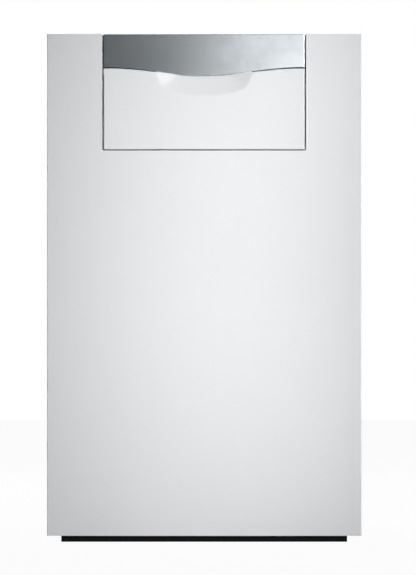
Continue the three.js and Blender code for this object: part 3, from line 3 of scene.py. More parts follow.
import bmesh
import bpy
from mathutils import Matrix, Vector


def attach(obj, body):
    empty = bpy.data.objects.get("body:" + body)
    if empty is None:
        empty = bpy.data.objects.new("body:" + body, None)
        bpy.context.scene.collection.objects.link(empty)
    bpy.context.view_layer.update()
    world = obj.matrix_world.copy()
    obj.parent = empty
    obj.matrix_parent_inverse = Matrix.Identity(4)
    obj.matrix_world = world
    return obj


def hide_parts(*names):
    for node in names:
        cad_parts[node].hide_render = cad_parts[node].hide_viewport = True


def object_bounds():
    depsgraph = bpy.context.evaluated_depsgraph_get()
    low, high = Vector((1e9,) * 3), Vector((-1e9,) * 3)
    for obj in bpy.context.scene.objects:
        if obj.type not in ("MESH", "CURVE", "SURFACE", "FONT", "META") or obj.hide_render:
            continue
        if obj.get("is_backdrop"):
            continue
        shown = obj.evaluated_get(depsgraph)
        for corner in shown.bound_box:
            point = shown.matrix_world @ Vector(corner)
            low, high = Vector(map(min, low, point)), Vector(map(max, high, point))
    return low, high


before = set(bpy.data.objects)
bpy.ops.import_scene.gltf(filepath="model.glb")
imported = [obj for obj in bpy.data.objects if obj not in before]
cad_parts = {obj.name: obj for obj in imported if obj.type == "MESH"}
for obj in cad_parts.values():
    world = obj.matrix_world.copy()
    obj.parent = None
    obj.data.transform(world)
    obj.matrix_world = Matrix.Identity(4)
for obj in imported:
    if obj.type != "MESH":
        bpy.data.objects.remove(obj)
cad_low, cad_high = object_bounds()


# Studio: a pale room with a white floor. The camera stands straight in front of the casing. A key softbox
# with a honeycomb, right of the camera, lights the front most near its middle. A smaller one gives the
# metal band its sheen, and four large ones light the two sides, the back and the top.
scene = bpy.context.scene
scene.view_settings.view_transform = "Standard"


def add_node(tree, kind, inputs=(), **properties):
    """A new node with its properties set, and its inputs linked or given a value."""
    made = tree.nodes.new(kind)
    for key, value in properties.items():
        setattr(made, key, value)
    for key, value in dict(inputs).items():
        if isinstance(value, bpy.types.NodeSocket):
            tree.links.new(value, made.inputs[key])
        else:
            made.inputs[key].default_value = value
    return made


def maths(tree, operation, first, second):
    """The result of one operation on two values or sockets."""
    return add_node(tree, "ShaderNodeMath", {0: first, 1: second}, operation=operation).outputs[0]


room_grey = 0.13
room = bpy.data.worlds.new("pale_room")
scene.world = room
room.use_nodes = True
tree = room.node_tree
rays = add_node(tree, "ShaderNodeLightPath").outputs
direction = add_node(tree, "ShaderNodeTexCoord")
parts = add_node(tree, "ShaderNodeSeparateXYZ", {0: direction.outputs["Generated"]})
behind = add_node(
    tree, "ShaderNodeMapRange", {"Value": parts.outputs["Y"], "From Min": -0.15, "From Max": 0.25}
)
mirrored = maths(tree, "MULTIPLY", rays["Is Glossy Ray"], behind.outputs["Result"])
seen = maths(tree, "MAXIMUM", rays["Is Camera Ray"], rays["Is Transmission Ray"])
white = maths(tree, "MAXIMUM", seen, mirrored)
grey = (0.93 * room_grey, room_grey, 1.07 * room_grey, 1)
colour = add_node(tree, "ShaderNodeMix", {"Factor": white, "A": grey, "B": (1, 1, 1, 1)}, data_type="RGBA")
tree.links.new(colour.outputs["Result"], tree.nodes["Background"].inputs["Color"])

floor_mesh = bpy.data.meshes.new("studio_floor")
floor_mesh.from_pydata([(-5, -2.2, 0), (5, -2.2, 0), (5, 7, 0), (-5, 7, 0)], [], [(0, 1, 2, 3)])
studio_floor = bpy.data.objects.new("studio_floor", floor_mesh)
scene.collection.objects.link(studio_floor)
studio_floor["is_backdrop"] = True
floor_paint = bpy.data.materials.new("white_floor")
floor_paint.use_nodes = True
tree = floor_paint.node_tree
tree.nodes.remove(tree.nodes["Principled BSDF"])
rays = add_node(tree, "ShaderNodeLightPath").outputs
seen = maths(tree, "MAXIMUM", rays["Is Camera Ray"], rays["Is Transmission Ray"])
seen = maths(tree, "MAXIMUM", seen, rays["Is Glossy Ray"])
share = maths(tree, "MULTIPLY", seen, 0.96)
matt = add_node(tree, "ShaderNodeBsdfDiffuse", {"Color": (0.62, 0.62, 0.62, 1)})
glow = add_node(tree, "ShaderNodeEmission", {"Color": (1, 1, 1, 1), "Strength": 1.0})
mixed = add_node(tree, "ShaderNodeMixShader", {0: share, 1: matt.outputs[0], 2: glow.outputs[0]})
tree.links.new(mixed.outputs[0], tree.nodes["Material Output"].inputs["Surface"])
floor_mesh.materials.append(floor_paint)


def softbox(name, place, aim, width, height, watts, spread=180.0):
    """A rectangular area light at a place, turned to face another one."""
    light = bpy.data.lights.new(name, "AREA")
    light.shape = "RECTANGLE"
    light.size, light.size_y, light.energy, light.spread = width, height, watts, math.radians(spread)
    lamp = bpy.data.objects.new(name, light)
    lamp.location = place
    lamp.rotation_euler = (Vector(aim) - Vector(place)).to_track_quat("-Z", "Y").to_euler()
    lamp.visible_camera = False
    scene.collection.objects.link(lamp)


softbox("key_softbox", (0.85, -1.852, 0.61), (-0.018, -0.375, 0.497), 0.318, 1.2, 2.13, spread=36.0)
softbox("band_softbox", (0.44, -2.3, 0.83), (0.44, -0.375, 0.83), 0.8, 0.6, 0.068, spread=24.0)
softbox("left_softbox", (-2.2, 1.3, 1.2), (-0.26, 0.0, 0.42), 1.6, 1.6, 28.0)
softbox("right_softbox", (2.2, 1.3, 1.2), (0.26, 0.0, 0.42), 1.6, 1.6, 28.0)
softbox("back_softbox", (-0.5, 2.4, 1.6), (0, 0.375, 0.42), 1.8, 1.4, 25.0)
softbox("top_softbox", (0.1, 0.55, 2.6), (0, 0.2, 0.84), 1.4, 1.0, 10.0)

lens_distance = 8.0
photo_height = 0.9504
sensor_mm = 36
aim_x, casing_front, aim_z = 0.0063, -0.375, 0.4217
camera = bpy.data.objects.new("camera", bpy.data.cameras.new("camera"))
camera.location = (aim_x, casing_front - lens_distance, aim_z)
camera.rotation_euler = (math.radians(90), 0, 0)
camera.data.sensor_width = sensor_mm
camera.data.lens = sensor_mm * lens_distance / photo_height
camera.data.clip_end = 60
scene.collection.objects.link(camera)
scene.camera = camera


# Base frame: a ring of black powder-coated C-section with two cross rails that carry the castings. The
# steel is folded and welded, and a nut is welded over the hole for each foot.
def at(x, y, z):
    """A point in metres from millimetres: X from the middle, Y from the casing's front, Z from the floor."""
    return Vector((x, y - 375, z)) / 1000


def new_group(name, inputs, outputs):
    """A shader node group with named inputs (label, value) and outputs (label): its tree, its two ends and
    the Object coordinates in it."""
    tree = bpy.data.node_groups.new(name, "ShaderNodeTree")
    for label, value in inputs:
        tree.interface.new_socket(label, in_out="INPUT", socket_type="NodeSocketFloat").default_value = value
    for label in outputs:
        tree.interface.new_socket(label, in_out="OUTPUT", socket_type="NodeSocketFloat")
    ends = [tree.nodes.new(kind) for kind in ("NodeGroupInput", "NodeGroupOutput")]
    return tree, ends[0].outputs, ends[1].inputs, add_node(tree, "ShaderNodeTexCoord").outputs["Object"]


def noise(tree, where, size, detail, roughness=0.5):
    """Soft noise with patches of a size in millimetres."""
    inputs = {"Vector": where, "Scale": maths(tree, "DIVIDE", 1000.0, size), "Detail": detail}
    return add_node(tree, "ShaderNodeTexNoise", {**inputs, "Roughness": roughness}).outputs["Fac"]


# Fine relief of a skin: two sizes of grain in millimetres, mixed into one height.
sizes = [("Grain", 1.0), ("Second Grain", 6.0), ("Second Share", 0.4)]
fine_relief, given, result, where = new_group("fine_relief", sizes, ["Height"])
grains = [noise(fine_relief, where, given[label], 3.0, 0.55) for label in ("Grain", "Second Grain")]
both = add_node(
    fine_relief, "ShaderNodeMix", {"Factor": given["Second Share"], "A": grains[0], "B": grains[1]}
)
fine_relief.links.new(both.outputs["Result"], result["Height"])

# Handling: soft cloudy patches and thin rubbed streaks, as a mask from 0 to 1.
sizes = [("Patch", 90.0), ("Streak", 3.0), ("Streak Share", 0.3)]
handling, given, result, where = new_group("handling", sizes, ["Mask"])
patches = noise(handling, where, given["Patch"], 4.0, 0.6)
stretch = {"Vector": where, "Scale": (1.0, 1.0, 0.06), "Rotation": (0.12, 0.3, 0.0)}
drawn = add_node(handling, "ShaderNodeMapping", stretch)
streaks = noise(handling, drawn.outputs["Vector"], given["Streak"], 2.0)
both = add_node(handling, "ShaderNodeMix", {"Factor": given["Streak Share"], "A": patches, "B": streaks})
limits = {"Value": both.outputs["Result"], "From Min": 0.38, "From Max": 0.62}
spread = add_node(handling, "ShaderNodeMapRange", limits)
handling.links.new(spread.outputs["Result"], result["Mask"])


def skin(
    name, colour, second, roughness, relief, metallic=0.0, patch=90.0, streak=3.0, streak_share=0.3, **fixed
):
    """A material whose colour and roughness drift between two values, with a fine relief (grain, second
    grain, second share, height), all in millimetres. Fixed values go on the shader's own sockets."""
    material = bpy.data.materials.new(name)
    material.use_nodes = True
    tree = material.node_tree
    shader = tree.nodes["Principled BSDF"]
    shader.inputs["Metallic"].default_value = metallic
    for key, value in fixed.items():
        shader.inputs[key.replace("_", " ")].default_value = value
    worn = add_node(tree, "ShaderNodeGroup", node_tree=handling)
    for label, value in (("Patch", patch), ("Streak", streak), ("Streak Share", streak_share)):
        worn.inputs[label].default_value = value
    mask = worn.outputs["Mask"]
    tones = {"Factor": mask, "A": (*colour, 1), "B": (*second, 1)}
    tone = add_node(tree, "ShaderNodeMix", tones, data_type="RGBA")
    gloss = add_node(
        tree, "ShaderNodeMapRange", {"Value": mask, "To Min": roughness[0], "To Max": roughness[1]}
    )
    tree.links.new(tone.outputs["Result"], shader.inputs["Base Color"])
    tree.links.new(gloss.outputs["Result"], shader.inputs["Roughness"])
    *grains, height = relief
    rough = add_node(tree, "ShaderNodeGroup", node_tree=fine_relief)
    for label, value in zip(("Grain", "Second Grain", "Second Share"), grains):
        rough.inputs[label].default_value = value
    heights = {"Height": rough.outputs["Height"], "Strength": 1.0, "Distance": height / 1000}
    bump = add_node(tree, "ShaderNodeBump", heights)
    tree.links.new(bump.outputs["Normal"], shader.inputs["Normal"])
    return material


sharp_from = 34
shown = []


def piece(node, built, finishes, slot, body="boiler", name="", smooth=sharp_from):
    """A finished piece from a bmesh: it stands for a CAD node, rides on a body and takes one or more
    finishes. Its faces are shaded smooth up to an angle."""
    for edge in built.edges:
        edge.smooth = len(edge.link_faces) == 2 and edge.calc_face_angle(0.0) < math.radians(smooth)
    for face in built.faces:
        face.smooth = True
    name = name or node + "_shown"
    mesh = bpy.data.meshes.new(name)
    built.to_mesh(mesh)
    built.free()
    for finish in finishes if isinstance(finishes, list) else [finishes]:
        mesh.materials.append(finish)
    made = bpy.data.objects.new(name, mesh)
    scene.collection.objects.link(made)
    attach(made, body)
    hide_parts(*([node] if node else []))
    shown.append((made, smooth))
    return made


def settled(made):
    """Bakes an object's modifiers into its mesh."""
    bpy.context.view_layer.update()
    graph = bpy.context.evaluated_depsgraph_get()
    bare = made.evaluated_get(graph)
    mesh = bpy.data.meshes.new_from_object(bare, preserve_all_data_layers=True, depsgraph=graph)
    made.modifiers.clear()
    made.data = mesh
    return made


def bevelled(made, edge, angle):
    """Adds a modifier that rounds the edges sharper than an angle to a radius in millimetres."""
    bevel = made.modifiers.new("edges", "BEVEL")
    bevel.width, bevel.segments, bevel.angle_limit = edge / 1000, 2, math.radians(angle)
    bevel.limit_method = "ANGLE"
    bevel.use_clamp_overlap = True


def evened(made):
    """Shades flat faces evenly up to their rounded edges, and bakes the modifiers."""
    made.modifiers.new("even_shading", "WEIGHTED_NORMAL").keep_sharp = True
    return settled(made)


def merged(node):
    """A CAD node's body as a bmesh, its triangles joined into flat faces."""
    built = bmesh.new()
    built.from_mesh(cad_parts[node].data)
    bmesh.ops.remove_doubles(built, verts=built.verts, dist=2e-5)
    bmesh.ops.dissolve_limit(built, angle_limit=math.radians(0.4), verts=built.verts, edges=built.edges)
    return built


def as_built(node, finish, slot, edge, angle=40):
    """A CAD node's own body as the finished piece, its sharp edges rounded."""
    made = piece(node, merged(node), finish, slot)
    bevelled(made, edge, angle)
    evened(made)


black_enamel = skin(
    "black_enamel", (0.004, 0.004, 0.0045), (0.006, 0.006, 0.0065), (0.6, 0.72), (0.9, 4.0, 0.5, 0.03),
    Specular_IOR_Level=0.08
)
as_built("base_frame", black_enamel, "black_frame", 0.8)


# Levelling feet: a moulded black pad with a rim of small ribs, on a zinc-plated M10 stud. The stud screws
# through the nut that is welded over its hole in the base frame.
AXES = {"x": lambda u, v, w: (w, u, v), "y": lambda u, v, w: (u, w, v), "z": lambda u, v, w: (u, v, w)}


def filleted(points, radius, steps=4, closed=False):
    """A line of points with its corners rounded to a radius."""
    made, count = [], len(points)
    for i, point in enumerate(points):
        if not closed and i in (0, count - 1):
            made.append(tuple(point))
            continue
        corner = Vector(point)
        back, ahead = Vector(points[i - 1]) - corner, Vector(points[(i + 1) % count]) - corner
        reach = min(radius, back.length * 0.48, ahead.length * 0.48)
        if reach < 1e-6 or abs(back.normalized().dot(ahead.normalized())) > 0.999:
            made.append(tuple(point))
            continue
        start, end = corner + back.normalized() * reach, corner + ahead.normalized() * reach
        for step in range(steps + 1):
            t = step / steps
            made.append(tuple((1 - t) ** 2 * start + 2 * t * (1 - t) * corner + t * t * end))
    return made


def circle(u, v, radius, sides):
    """Points at even steps round a circle, anticlockwise."""
    turns = [2 * math.pi * i / sides for i in range(sides)]
    return [(u + radius * math.cos(t), v + radius * math.sin(t)) for t in turns]


def ring(built, axis, outline, w):
    """Adds the vertices of an outline across an axis, at a distance along it."""
    return [built.verts.new(at(*AXES[axis](u, v, w))) for u, v in outline]


def hoop(built, low, high):
    """Adds the faces between two rings of the same number of vertices."""
    ahead = [(i, (i + 1) % len(low)) for i in range(len(low))]
    return [built.faces.new([low[i], low[j], high[j], high[i]]) for i, j in ahead]


def closed_up(built, faces, finish):
    """Gives the faces of a closed body their finish and turns them outwards."""
    for face in faces:
        face.material_index = finish
    bmesh.ops.recalc_face_normals(built, faces=faces)
    return faces


def turn(built, axis, profile, u=0.0, v=0.0, sides=48, closed=False, finish=0):
    """Adds a turned body about a line along an axis through (u, v): its profile of (radius, distance) starts
    and ends on the line, or closes on itself."""
    rings, faces = [], []
    for radius, w in profile:
        rings.append(ring(built, axis, circle(u, v, radius, sides) if radius > 1e-6 else [(u, v)], w))
    for low, high in list(zip(rings, rings[1:])) + ([(rings[-1], rings[0])] if closed else []):
        for i in range(sides if len(low) + len(high) > 2 else 0):
            j = (i + 1) % sides
            corners = [low[i % len(low)], low[j % len(low)], high[j % len(high)], high[i % len(high)]]
            faces.append(built.faces.new(list(dict.fromkeys(corners))))
    return closed_up(built, faces, finish)


def disc(built, axis, radius, low, high, u, v, edge=0.0, sides=32, steps=2, bore=0.0, finish=0):
    """Adds a round disc, bar or ring between two distances along an axis, its rims rounded."""
    low, high = sorted((low, high))
    profile = [(bore, low), (radius, low), (radius, high), (bore, high)]
    if edge:
        profile = filleted(profile, edge, steps, closed=bore > 0)
    return turn(built, axis, profile, u, v, sides, bore > 0, finish)


def thread(built, axis, radius, pitch, low, high, u, v, bore=0.0, finish=0):
    """Adds a threaded rod or pipe end: one V-shaped ridge that winds up from a lead-in to a run-out."""
    low, high = sorted((low, high))
    sides, rows, depth, grid = 32, 4, pitch * 0.55, []
    for k in range(-rows, int((high - low) / pitch + 2) * rows):
        crest = 1 - abs((k % rows) / rows - 0.5) * 2
        grid.append([])
        for i in range(sides):
            t = 2 * math.pi * i / sides
            w = min(max(low + (k / rows + i / sides) * pitch, low), high)
            lead = min((w - low) / pitch, (high - w) / pitch, 1.0)
            r = radius - depth * (1 - crest * lead)
            grid[-1] += ring(built, axis, [(u + r * math.cos(t), v + r * math.sin(t))], w)
    faces = []
    for k in range(len(grid) - 1):
        for i in range(sides):
            # the last side of each row joins the first one of the row that lies a full turn further up
            j, up = (i + 1, k) if i + 1 < sides else (0, k + rows)
            near, far = (grid[min(n, len(grid) - 1)][j] for n in (up, up + 1))
            if j == 0 and up + 1 >= len(grid):
                near = far
            corners = list(dict.fromkeys([grid[k][i], near, far, grid[k + 1][i]]))
            if len(corners) > 2:
                faces.append(built.faces.new(corners))
    if bore:
        inner = [ring(built, axis, circle(u, v, bore, sides), w) for w in (low, high)]
        faces += hoop(built, grid[0], inner[0]) + hoop(built, grid[-1], inner[1]) + hoop(built, *inner)
    else:
        faces += [built.faces.new(grid[0]), built.faces.new(grid[-1])]
    for face in faces:
        face.material_index = finish
    points = list({vertex for face in faces for vertex in face.verts})
    bmesh.ops.dissolve_degenerate(
        built, dist=1e-7, edges=list({edge for face in faces for edge in face.edges})
    )
    points = [vertex for vertex in points if vertex.is_valid]
    bmesh.ops.recalc_face_normals(
        built, faces=list({face for vertex in points for face in vertex.link_faces})
    )


foot_plastic = skin(
    "foot_plastic", (0.05, 0.05, 0.055), (0.07, 0.07, 0.075), (0.42, 0.55), (0.35, 2.0, 0.3, 0.02)
)
zinc_plate = skin(
    "zinc_plate", (0.66, 0.67, 0.66), (0.56, 0.57, 0.55), (0.28, 0.42), (0.6, 3.0, 0.4, 0.008),
    metallic=1.0, patch=8.0
)
foot_x, stud_top, pad_radius, pad_top = 215, 50.0, 17.0, 6.5
for side, y, place in (
    (-1, 50, "front_left"), (1, 50, "front_right"), (-1, 570, "rear_left"), (1, 570, "rear_right")
):
    x = side * foot_x
    built = bmesh.new()
    pad = [
        (0, 0.5), (pad_radius - 1.6, 0.5), (pad_radius, 1.6), (pad_radius, 4.6), (pad_radius - 2.2, pad_top)
    ]
    pad += [(9.4, pad_top), (8.6, 8.2), (5.3, 8.2), (5.3, pad_top), (0, pad_top)]
    turn(built, "z", filleted(pad, 0.7, 3), x, y, 56)
    for u, v in circle(x, y, 16.2, 12):
        disc(built, "z", 1.5, 1.2, 5.3, u, v, edge=0.5, sides=10)
    thread(built, "z", 5.0, 1.5, 8.0, stud_top, x, y, finish=1)
    piece(
        "levelling_foot_" + place, built, [foot_plastic, zinc_plate], "foot_plastic",
        "levelling_foot_" + place, name="foot_" + place
    )


# Heat exchanger: four grey iron castings with a sand-cast skin, cast hollow for the water, with upright
# fins in the flue ways between them. Two steel tie rods with nuts and washers draw them together.
cast_iron = skin(
    "cast_iron", (0.050, 0.049, 0.047), (0.105, 0.088, 0.072), (0.62, 0.85), (1.1, 5.0, 0.55, 0.16),
    metallic=0.55, patch=55.0, streak=7.0, streak_share=0.4
)
for name in ("left_end_section", "middle_section_left", "middle_section_right", "right_end_section"):
    as_built(name, cast_iron, "cast_iron", 1.6, 30)


def hexagon(built, axis, across, low, high, u=0.0, v=0.0, chamfer=(True, True), bore=0.0, finish=0):
    """Adds a hexagon, its corners turned down to a cone at one or both ends."""
    low, high = sorted((low, high))
    half, sides, inner_cone = across / 2, 48, 0.97
    corner = 2 / math.sqrt(3) - inner_cone
    step = corner * half / math.tan(math.radians(60)) / 3
    rows = [(low + k * step, k) for k in range(4)] if chamfer[0] else [(low, 3)]
    rows += [(high - k * step, k) for k in (3, 2, 1, 0)] if chamfer[1] else [(high, 3)]
    turns = [2 * math.pi * i / sides for i in range(sides)]
    flats = [half / math.cos((t + math.pi / 6) % (math.pi / 3) - math.pi / 6) for t in turns]
    rings, faces = [], []
    for w, k in rows:
        reach = [min(flat, half * (inner_cone + corner * k / 3)) for flat in flats]
        outline = [(u + r * math.cos(t), v + r * math.sin(t)) for r, t in zip(reach, turns)]
        rings.append(ring(built, axis, outline, w))
    if bore:
        rings += [ring(built, axis, circle(u, v, bore, sides), w) for w in (high, low)]
        rings.append(rings[0])
    else:
        faces += [built.faces.new(rings[0]), built.faces.new(rings[-1])]
    for first, second in zip(rings, rings[1:]):
        faces += hoop(built, first, second)
    return closed_up(built, faces, finish)


tie_nut_from, tie_nut_to = 132.3, 140.3
for name, y, z in (("upper_tie_rod", 140, 565), ("lower_tie_rod", 500, 245)):
    built = bmesh.new()
    disc(built, "x", 4.4, -110, 110, y, z)
    for side in (-1, 1):
        thread(built, "x", 5.0, 1.5, side * 110, side * 141.8, y, z)
        hexagon(built, "x", 15.6, side * (tie_nut_from + 1.6), side * tie_nut_to, y, z, bore=5.05)
        disc(
            built, "x", 10.0, side * tie_nut_from, side * (tie_nut_from + 1.5), y, z, edge=0.3, sides=40,
            bore=5.2
        )
    piece(name, built, zinc_plate, "galvanised_sheet")


# Insulation: a mineral wool blanket wrapped round the sides and the back of the castings and a mat over
# their front, both faced with quilted aluminium foil. Plate washers on welded pins hold them on.
insulation_foil = skin(
    "insulation_foil", (0.62, 0.62, 0.61), (0.54, 0.54, 0.53), (0.3, 0.46), (2.2, 11.0, 0.6, 0.22),
    metallic=1.0, patch=30.0, streak=4.0
)
blanket_wall, wrap_half, wrap_inner, wrap_back, wrap_low, wrap_high = 25.0, 167.3, 142.3, 545.3, 100.0, 585.0


def quilt(u, v, pitch=58.0, deep=2.6):
    """Depth of the quilting at a place on a mat, deepest on the crossing seams."""
    a, b = (u + v) / pitch, (u - v) / pitch
    near = min(abs(a - round(a)), abs(b - round(b))) * pitch
    sag = 0.5 * math.sin(u * 0.11 + 1.3 * math.sin(v * 0.07)) * math.sin(v * 0.09)
    return deep * math.exp(-((near / 5.0) ** 2)) + sag


def mat(built, path, low, high, wall, pitch, holes=()):
    """Adds a mat along a path in plan: puffed between its seams, its edges pulled in, open at the holes."""
    marks = [0.0]
    for (x0, y0), (x1, y1) in zip(path, path[1:]):
        marks.append(marks[-1] + math.hypot(x1 - x0, y1 - y0))
    length, columns, rows = marks[-1], max(2, round(marks[-1] / pitch)), max(2, round((high - low) / pitch))

    def outward(k):
        ahead = Vector(path[k + 1]) - Vector(path[k])
        return Vector((ahead.y, -ahead.x)).normalized()

    def is_open(i, j):
        s, z = length * (i + 0.5) / columns, low + (high - low) * (j + 0.5) / rows
        return any(math.hypot(s - a, z - b) < r for a, b, r in holes)

    outer, inner = [], []
    for i in range(columns + 1):
        s = length * i / columns
        k = max(j for j in range(len(path) - 1) if marks[j] <= s + 1e-6)
        share = (s - marks[k]) / (marks[k + 1] - marks[k])
        place = Vector(path[k]) + (Vector(path[k + 1]) - Vector(path[k])) * share
        out = outward(k)
        if k + 2 < len(path) and share > 0.5:
            out = out.lerp(outward(k + 1), share - 0.5)
        if k and share < 0.5:
            out = out.lerp(outward(k - 1), 0.5 - share)
        out.normalize()
        outer.append([])
        inner.append([])
        for j in range(rows + 1):
            z = low + (high - low) * j / rows
            edge = min(s, length - s, z - low, high - z)
            crown = 1 - math.exp(-max(edge, 0.0) / 5.0)
            thick = wall * (0.62 + 0.38 * crown) - (quilt(s, z) if edge > 9 else 0.0)
            for column, reach in ((outer[-1], thick - wall / 2), (inner[-1], -wall / 2 + 0.4)):
                column.append(built.verts.new(at(*(place + out * reach), z)))
    faces = []
    sides = [(-1, 0, (0, 0), (0, 1)), (1, 0, (1, 1), (1, 0)), (0, -1, (1, 0), (0, 0)), (0, 1, (0, 1), (1, 1))]
    for i in range(columns):
        for j in range(rows):
            if is_open(i, j):
                continue
            for sheet, step in ((outer, 1), (inner, -1)):
                corners = [sheet[i][j], sheet[i + 1][j], sheet[i + 1][j + 1], sheet[i][j + 1]]
                faces.append(built.faces.new(corners[::step]))
            for over, up, (a, b), (c, d) in sides:
                k, l = i + over, j + up
                if not (0 <= k < columns and 0 <= l < rows) or is_open(k, l):
                    first, second = (i + a, j + b), (i + c, j + d)
                    rim = [(outer, first), (inner, first), (inner, second), (outer, second)]
                    faces.append(built.faces.new([sheet[p][q] for sheet, (p, q) in rim]))
    bmesh.ops.recalc_face_normals(built, faces=faces)
    bmesh.ops.delete(built, geom=[v for v in built.verts if not v.link_faces], context="VERTS")


wrap_front, corner_turn, seam_mm = 121.5, 12, 4.6
middle = (wrap_half + wrap_inner) / 2
back_line = wrap_back - blanket_wall / 2
quarter = [math.radians(15 * i) for i in range(7)]
half_line = [(middle, wrap_front)] + [(middle, y) for y in (200, 300, 400, 500)]
half_line += [
    (middle - corner_turn + corner_turn * math.cos(t), back_line - corner_turn + corner_turn * math.sin(t))
    for t in quarter
]
port_y, flow_z, return_z, port_hole = 460.0, 543.0, 267.0, 31.0
holes = [(port_y - wrap_front, z, port_hole) for z in (flow_z, return_z)]
built = bmesh.new()
mat(
    built, half_line + [(-x, y) for x, y in reversed(half_line)], wrap_low + 0.5, wrap_high - 0.5,
    blanket_wall - 1.0, seam_mm, holes
)
wrap = piece("block_insulation", built, insulation_foil, "insulation_foil", smooth=60)
front_back, front_low = 119.7, 231.3
front_line = [(x, front_back - blanket_wall / 2) for x in (-166.8, -100, 0, 100, 166.8)]
built = bmesh.new()
mat(built, front_line, front_low + 0.4, wrap_high - 0.5, blanket_wall - 1.0, seam_mm)
front_mat = piece("front_insulation", built, insulation_foil, "insulation_foil", smooth=60)


def fixings(name, head, places, finish, body="boiler"):
    """Sets a copy of a small head at each place (point, direction it faces), as one piece."""
    mesh = bpy.data.meshes.new(name)
    mesh.from_pydata([point for point, _ in places], [], [])
    facing = mesh.attributes.new("facing", "FLOAT_VECTOR", "POINT")
    for i, (_, direction) in enumerate(places):
        facing.data[i].vector = direction
    made = bpy.data.objects.new(name, mesh)
    scene.collection.objects.link(made)
    rows = made.modifiers.new("rows", "NODES")
    rows.node_group = fixing_rows
    for label, value in (("Head", head), ("Finish", finish)):
        rows[fixing_rows.interface.items_tree[label].identifier] = value
    settled(made)
    for polygon in made.data.polygons:
        polygon.use_smooth = True
    made.data.set_sharp_from_angle(angle=math.radians(sharp_from))
    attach(made, body)


fixing_rows = bpy.data.node_groups.new("fixing_rows", "GeometryNodeTree")
for label, kind in (("Points", "Geometry"), ("Head", "Object"), ("Finish", "Material"), ("Size", "Float")):
    socket = fixing_rows.interface.new_socket(label, in_out="INPUT", socket_type="NodeSocket" + kind)
socket.default_value = 1.0
fixing_rows.interface.new_socket("Heads", in_out="OUTPUT", socket_type="NodeSocketGeometry")
given = fixing_rows.nodes.new("NodeGroupInput").outputs
result = fixing_rows.nodes.new("NodeGroupOutput").inputs
head = add_node(fixing_rows, "GeometryNodeObjectInfo", {"Object": given["Head"]})
facing = add_node(
    fixing_rows, "GeometryNodeInputNamedAttribute", {"Name": "facing"}, data_type="FLOAT_VECTOR"
)
direction = {"Vector": facing.outputs["Attribute"]}
aimed = add_node(fixing_rows, "FunctionNodeAlignRotationToVector", direction, axis="Z")
where = {"Points": given["Points"], "Rotation": aimed.outputs["Rotation"], "Scale": given["Size"]}
placed = add_node(
    fixing_rows, "GeometryNodeInstanceOnPoints", {**where, "Instance": head.outputs["Geometry"]}
)
real = add_node(fixing_rows, "GeometryNodeRealizeInstances", {"Geometry": placed.outputs["Instances"]})
look = {"Geometry": real.outputs["Geometry"], "Material": given["Finish"]}
finished = add_node(fixing_rows, "GeometryNodeSetMaterial", look)
fixing_rows.links.new(finished.outputs["Geometry"], result["Heads"])


def head_shape(name, profile, edge, sides, across=0.0):
    """A small turned head round the world's origin, its face towards +Z, for the rows of fixings. A size
    across flats adds a hexagon on it."""
    built = bmesh.new()
    turn(built, "z", filleted(profile, edge, 2) if edge else profile, sides=sides)
    if across:
        hexagon(built, "z", across, 0.9, 3.8, chamfer=(False, True))
    bmesh.ops.translate(built, verts=built.verts, vec=-at(0, 0, 0))
    for face in built.faces:
        face.smooth = True
    mesh = bpy.data.meshes.new(name)
    built.to_mesh(mesh)
    built.free()
    made = bpy.data.objects.new(name, mesh)
    scene.collection.objects.link(made)
    return made


washer = [(0, -0.9), (12.0, -0.9), (12.0, 0.0), (3.2, 0.7), (1.6, 0.7), (1.6, 1.6), (0, 1.6)]
pin_head = head_shape("pin_head", washer, 0.3, 36)
pins = [(at(x, 95.6, z), (0, -1, 0)) for x in (-116, 0, 116) for z in (290, 408, 526)]
pins += [
    (at(side * 166.4, y, z), (side, 0, 0)) for side in (-1, 1) for y in (180, 330) for z in (180, 340, 500)
]
pins += [(at(x, 544.4, z), (0, 1, 0)) for x in (-90, 90) for z in (180, 340, 500)]
fixings("insulation_pins", pin_head, pins, zinc_plate)
bpy.data.objects.remove(pin_head)


# Burner bars: three tubes pressed from stainless steel halves and crimped along both sides, each with a
# bell mouth at the front and a row of slots in its top. Heat has browned them a little.
burner_steel = skin(
    "burner_steel", (0.56, 0.53, 0.48), (0.36, 0.27, 0.22), (0.26, 0.42), (0.5, 3.0, 0.4, 0.012),
    metallic=1.0, patch=46.0, streak=5.0
)
galvanised = skin(
    "galvanised", (0.60, 0.62, 0.63), (0.47, 0.49, 0.505), (0.3, 0.48), (1.2, 14.0, 0.65, 0.012),
    metallic=1.0, patch=22.0, streak=5.0, streak_share=0.2
)


def about(middle, half):
    """A pair of bounds at equal distances from a middle."""
    return middle - half, middle + half


def rectangle(u0, u1, v0, v1, radius=0.0, steps=5):
    """The outline of a rectangle with rounded corners, anticlockwise."""
    if radius <= 0:
        return [(u0, v0), (u1, v0), (u1, v1), (u0, v1)]
    right, left, top, bottom = u1 - radius, u0 + radius, v1 - radius, v0 + radius
    made = []
    for u, v, start in ((right, bottom, -90), (right, top, 0), (left, top, 90), (left, bottom, 180)):
        turns = [math.radians(start + 90 * i / steps) for i in range(steps + 1)]
        made += [(u + radius * math.cos(t), v + radius * math.sin(t)) for t in turns]
    return made


def offset(loop, distance):
    """A closed outline moved to its left by a distance."""
    made = []
    for i, point in enumerate(loop):
        here = Vector(point)
        back = (here - Vector(loop[i - 1])).normalized()
        ahead = (Vector(loop[(i + 1) % len(loop)]) - here).normalized()
        first, second = Vector((-back.y, back.x)), Vector((-ahead.y, ahead.x))
        split = (first + second).normalized()
        made.append(tuple(here + split * distance / max(split.dot(first), 0.35)))
    return made


def signed_area(loop):
    """Twice the area of an outline, positive where it runs anticlockwise."""
    return sum(a[0] * b[1] - b[0] * a[1] for a, b in zip(loop, loop[1:] + loop[:1]))


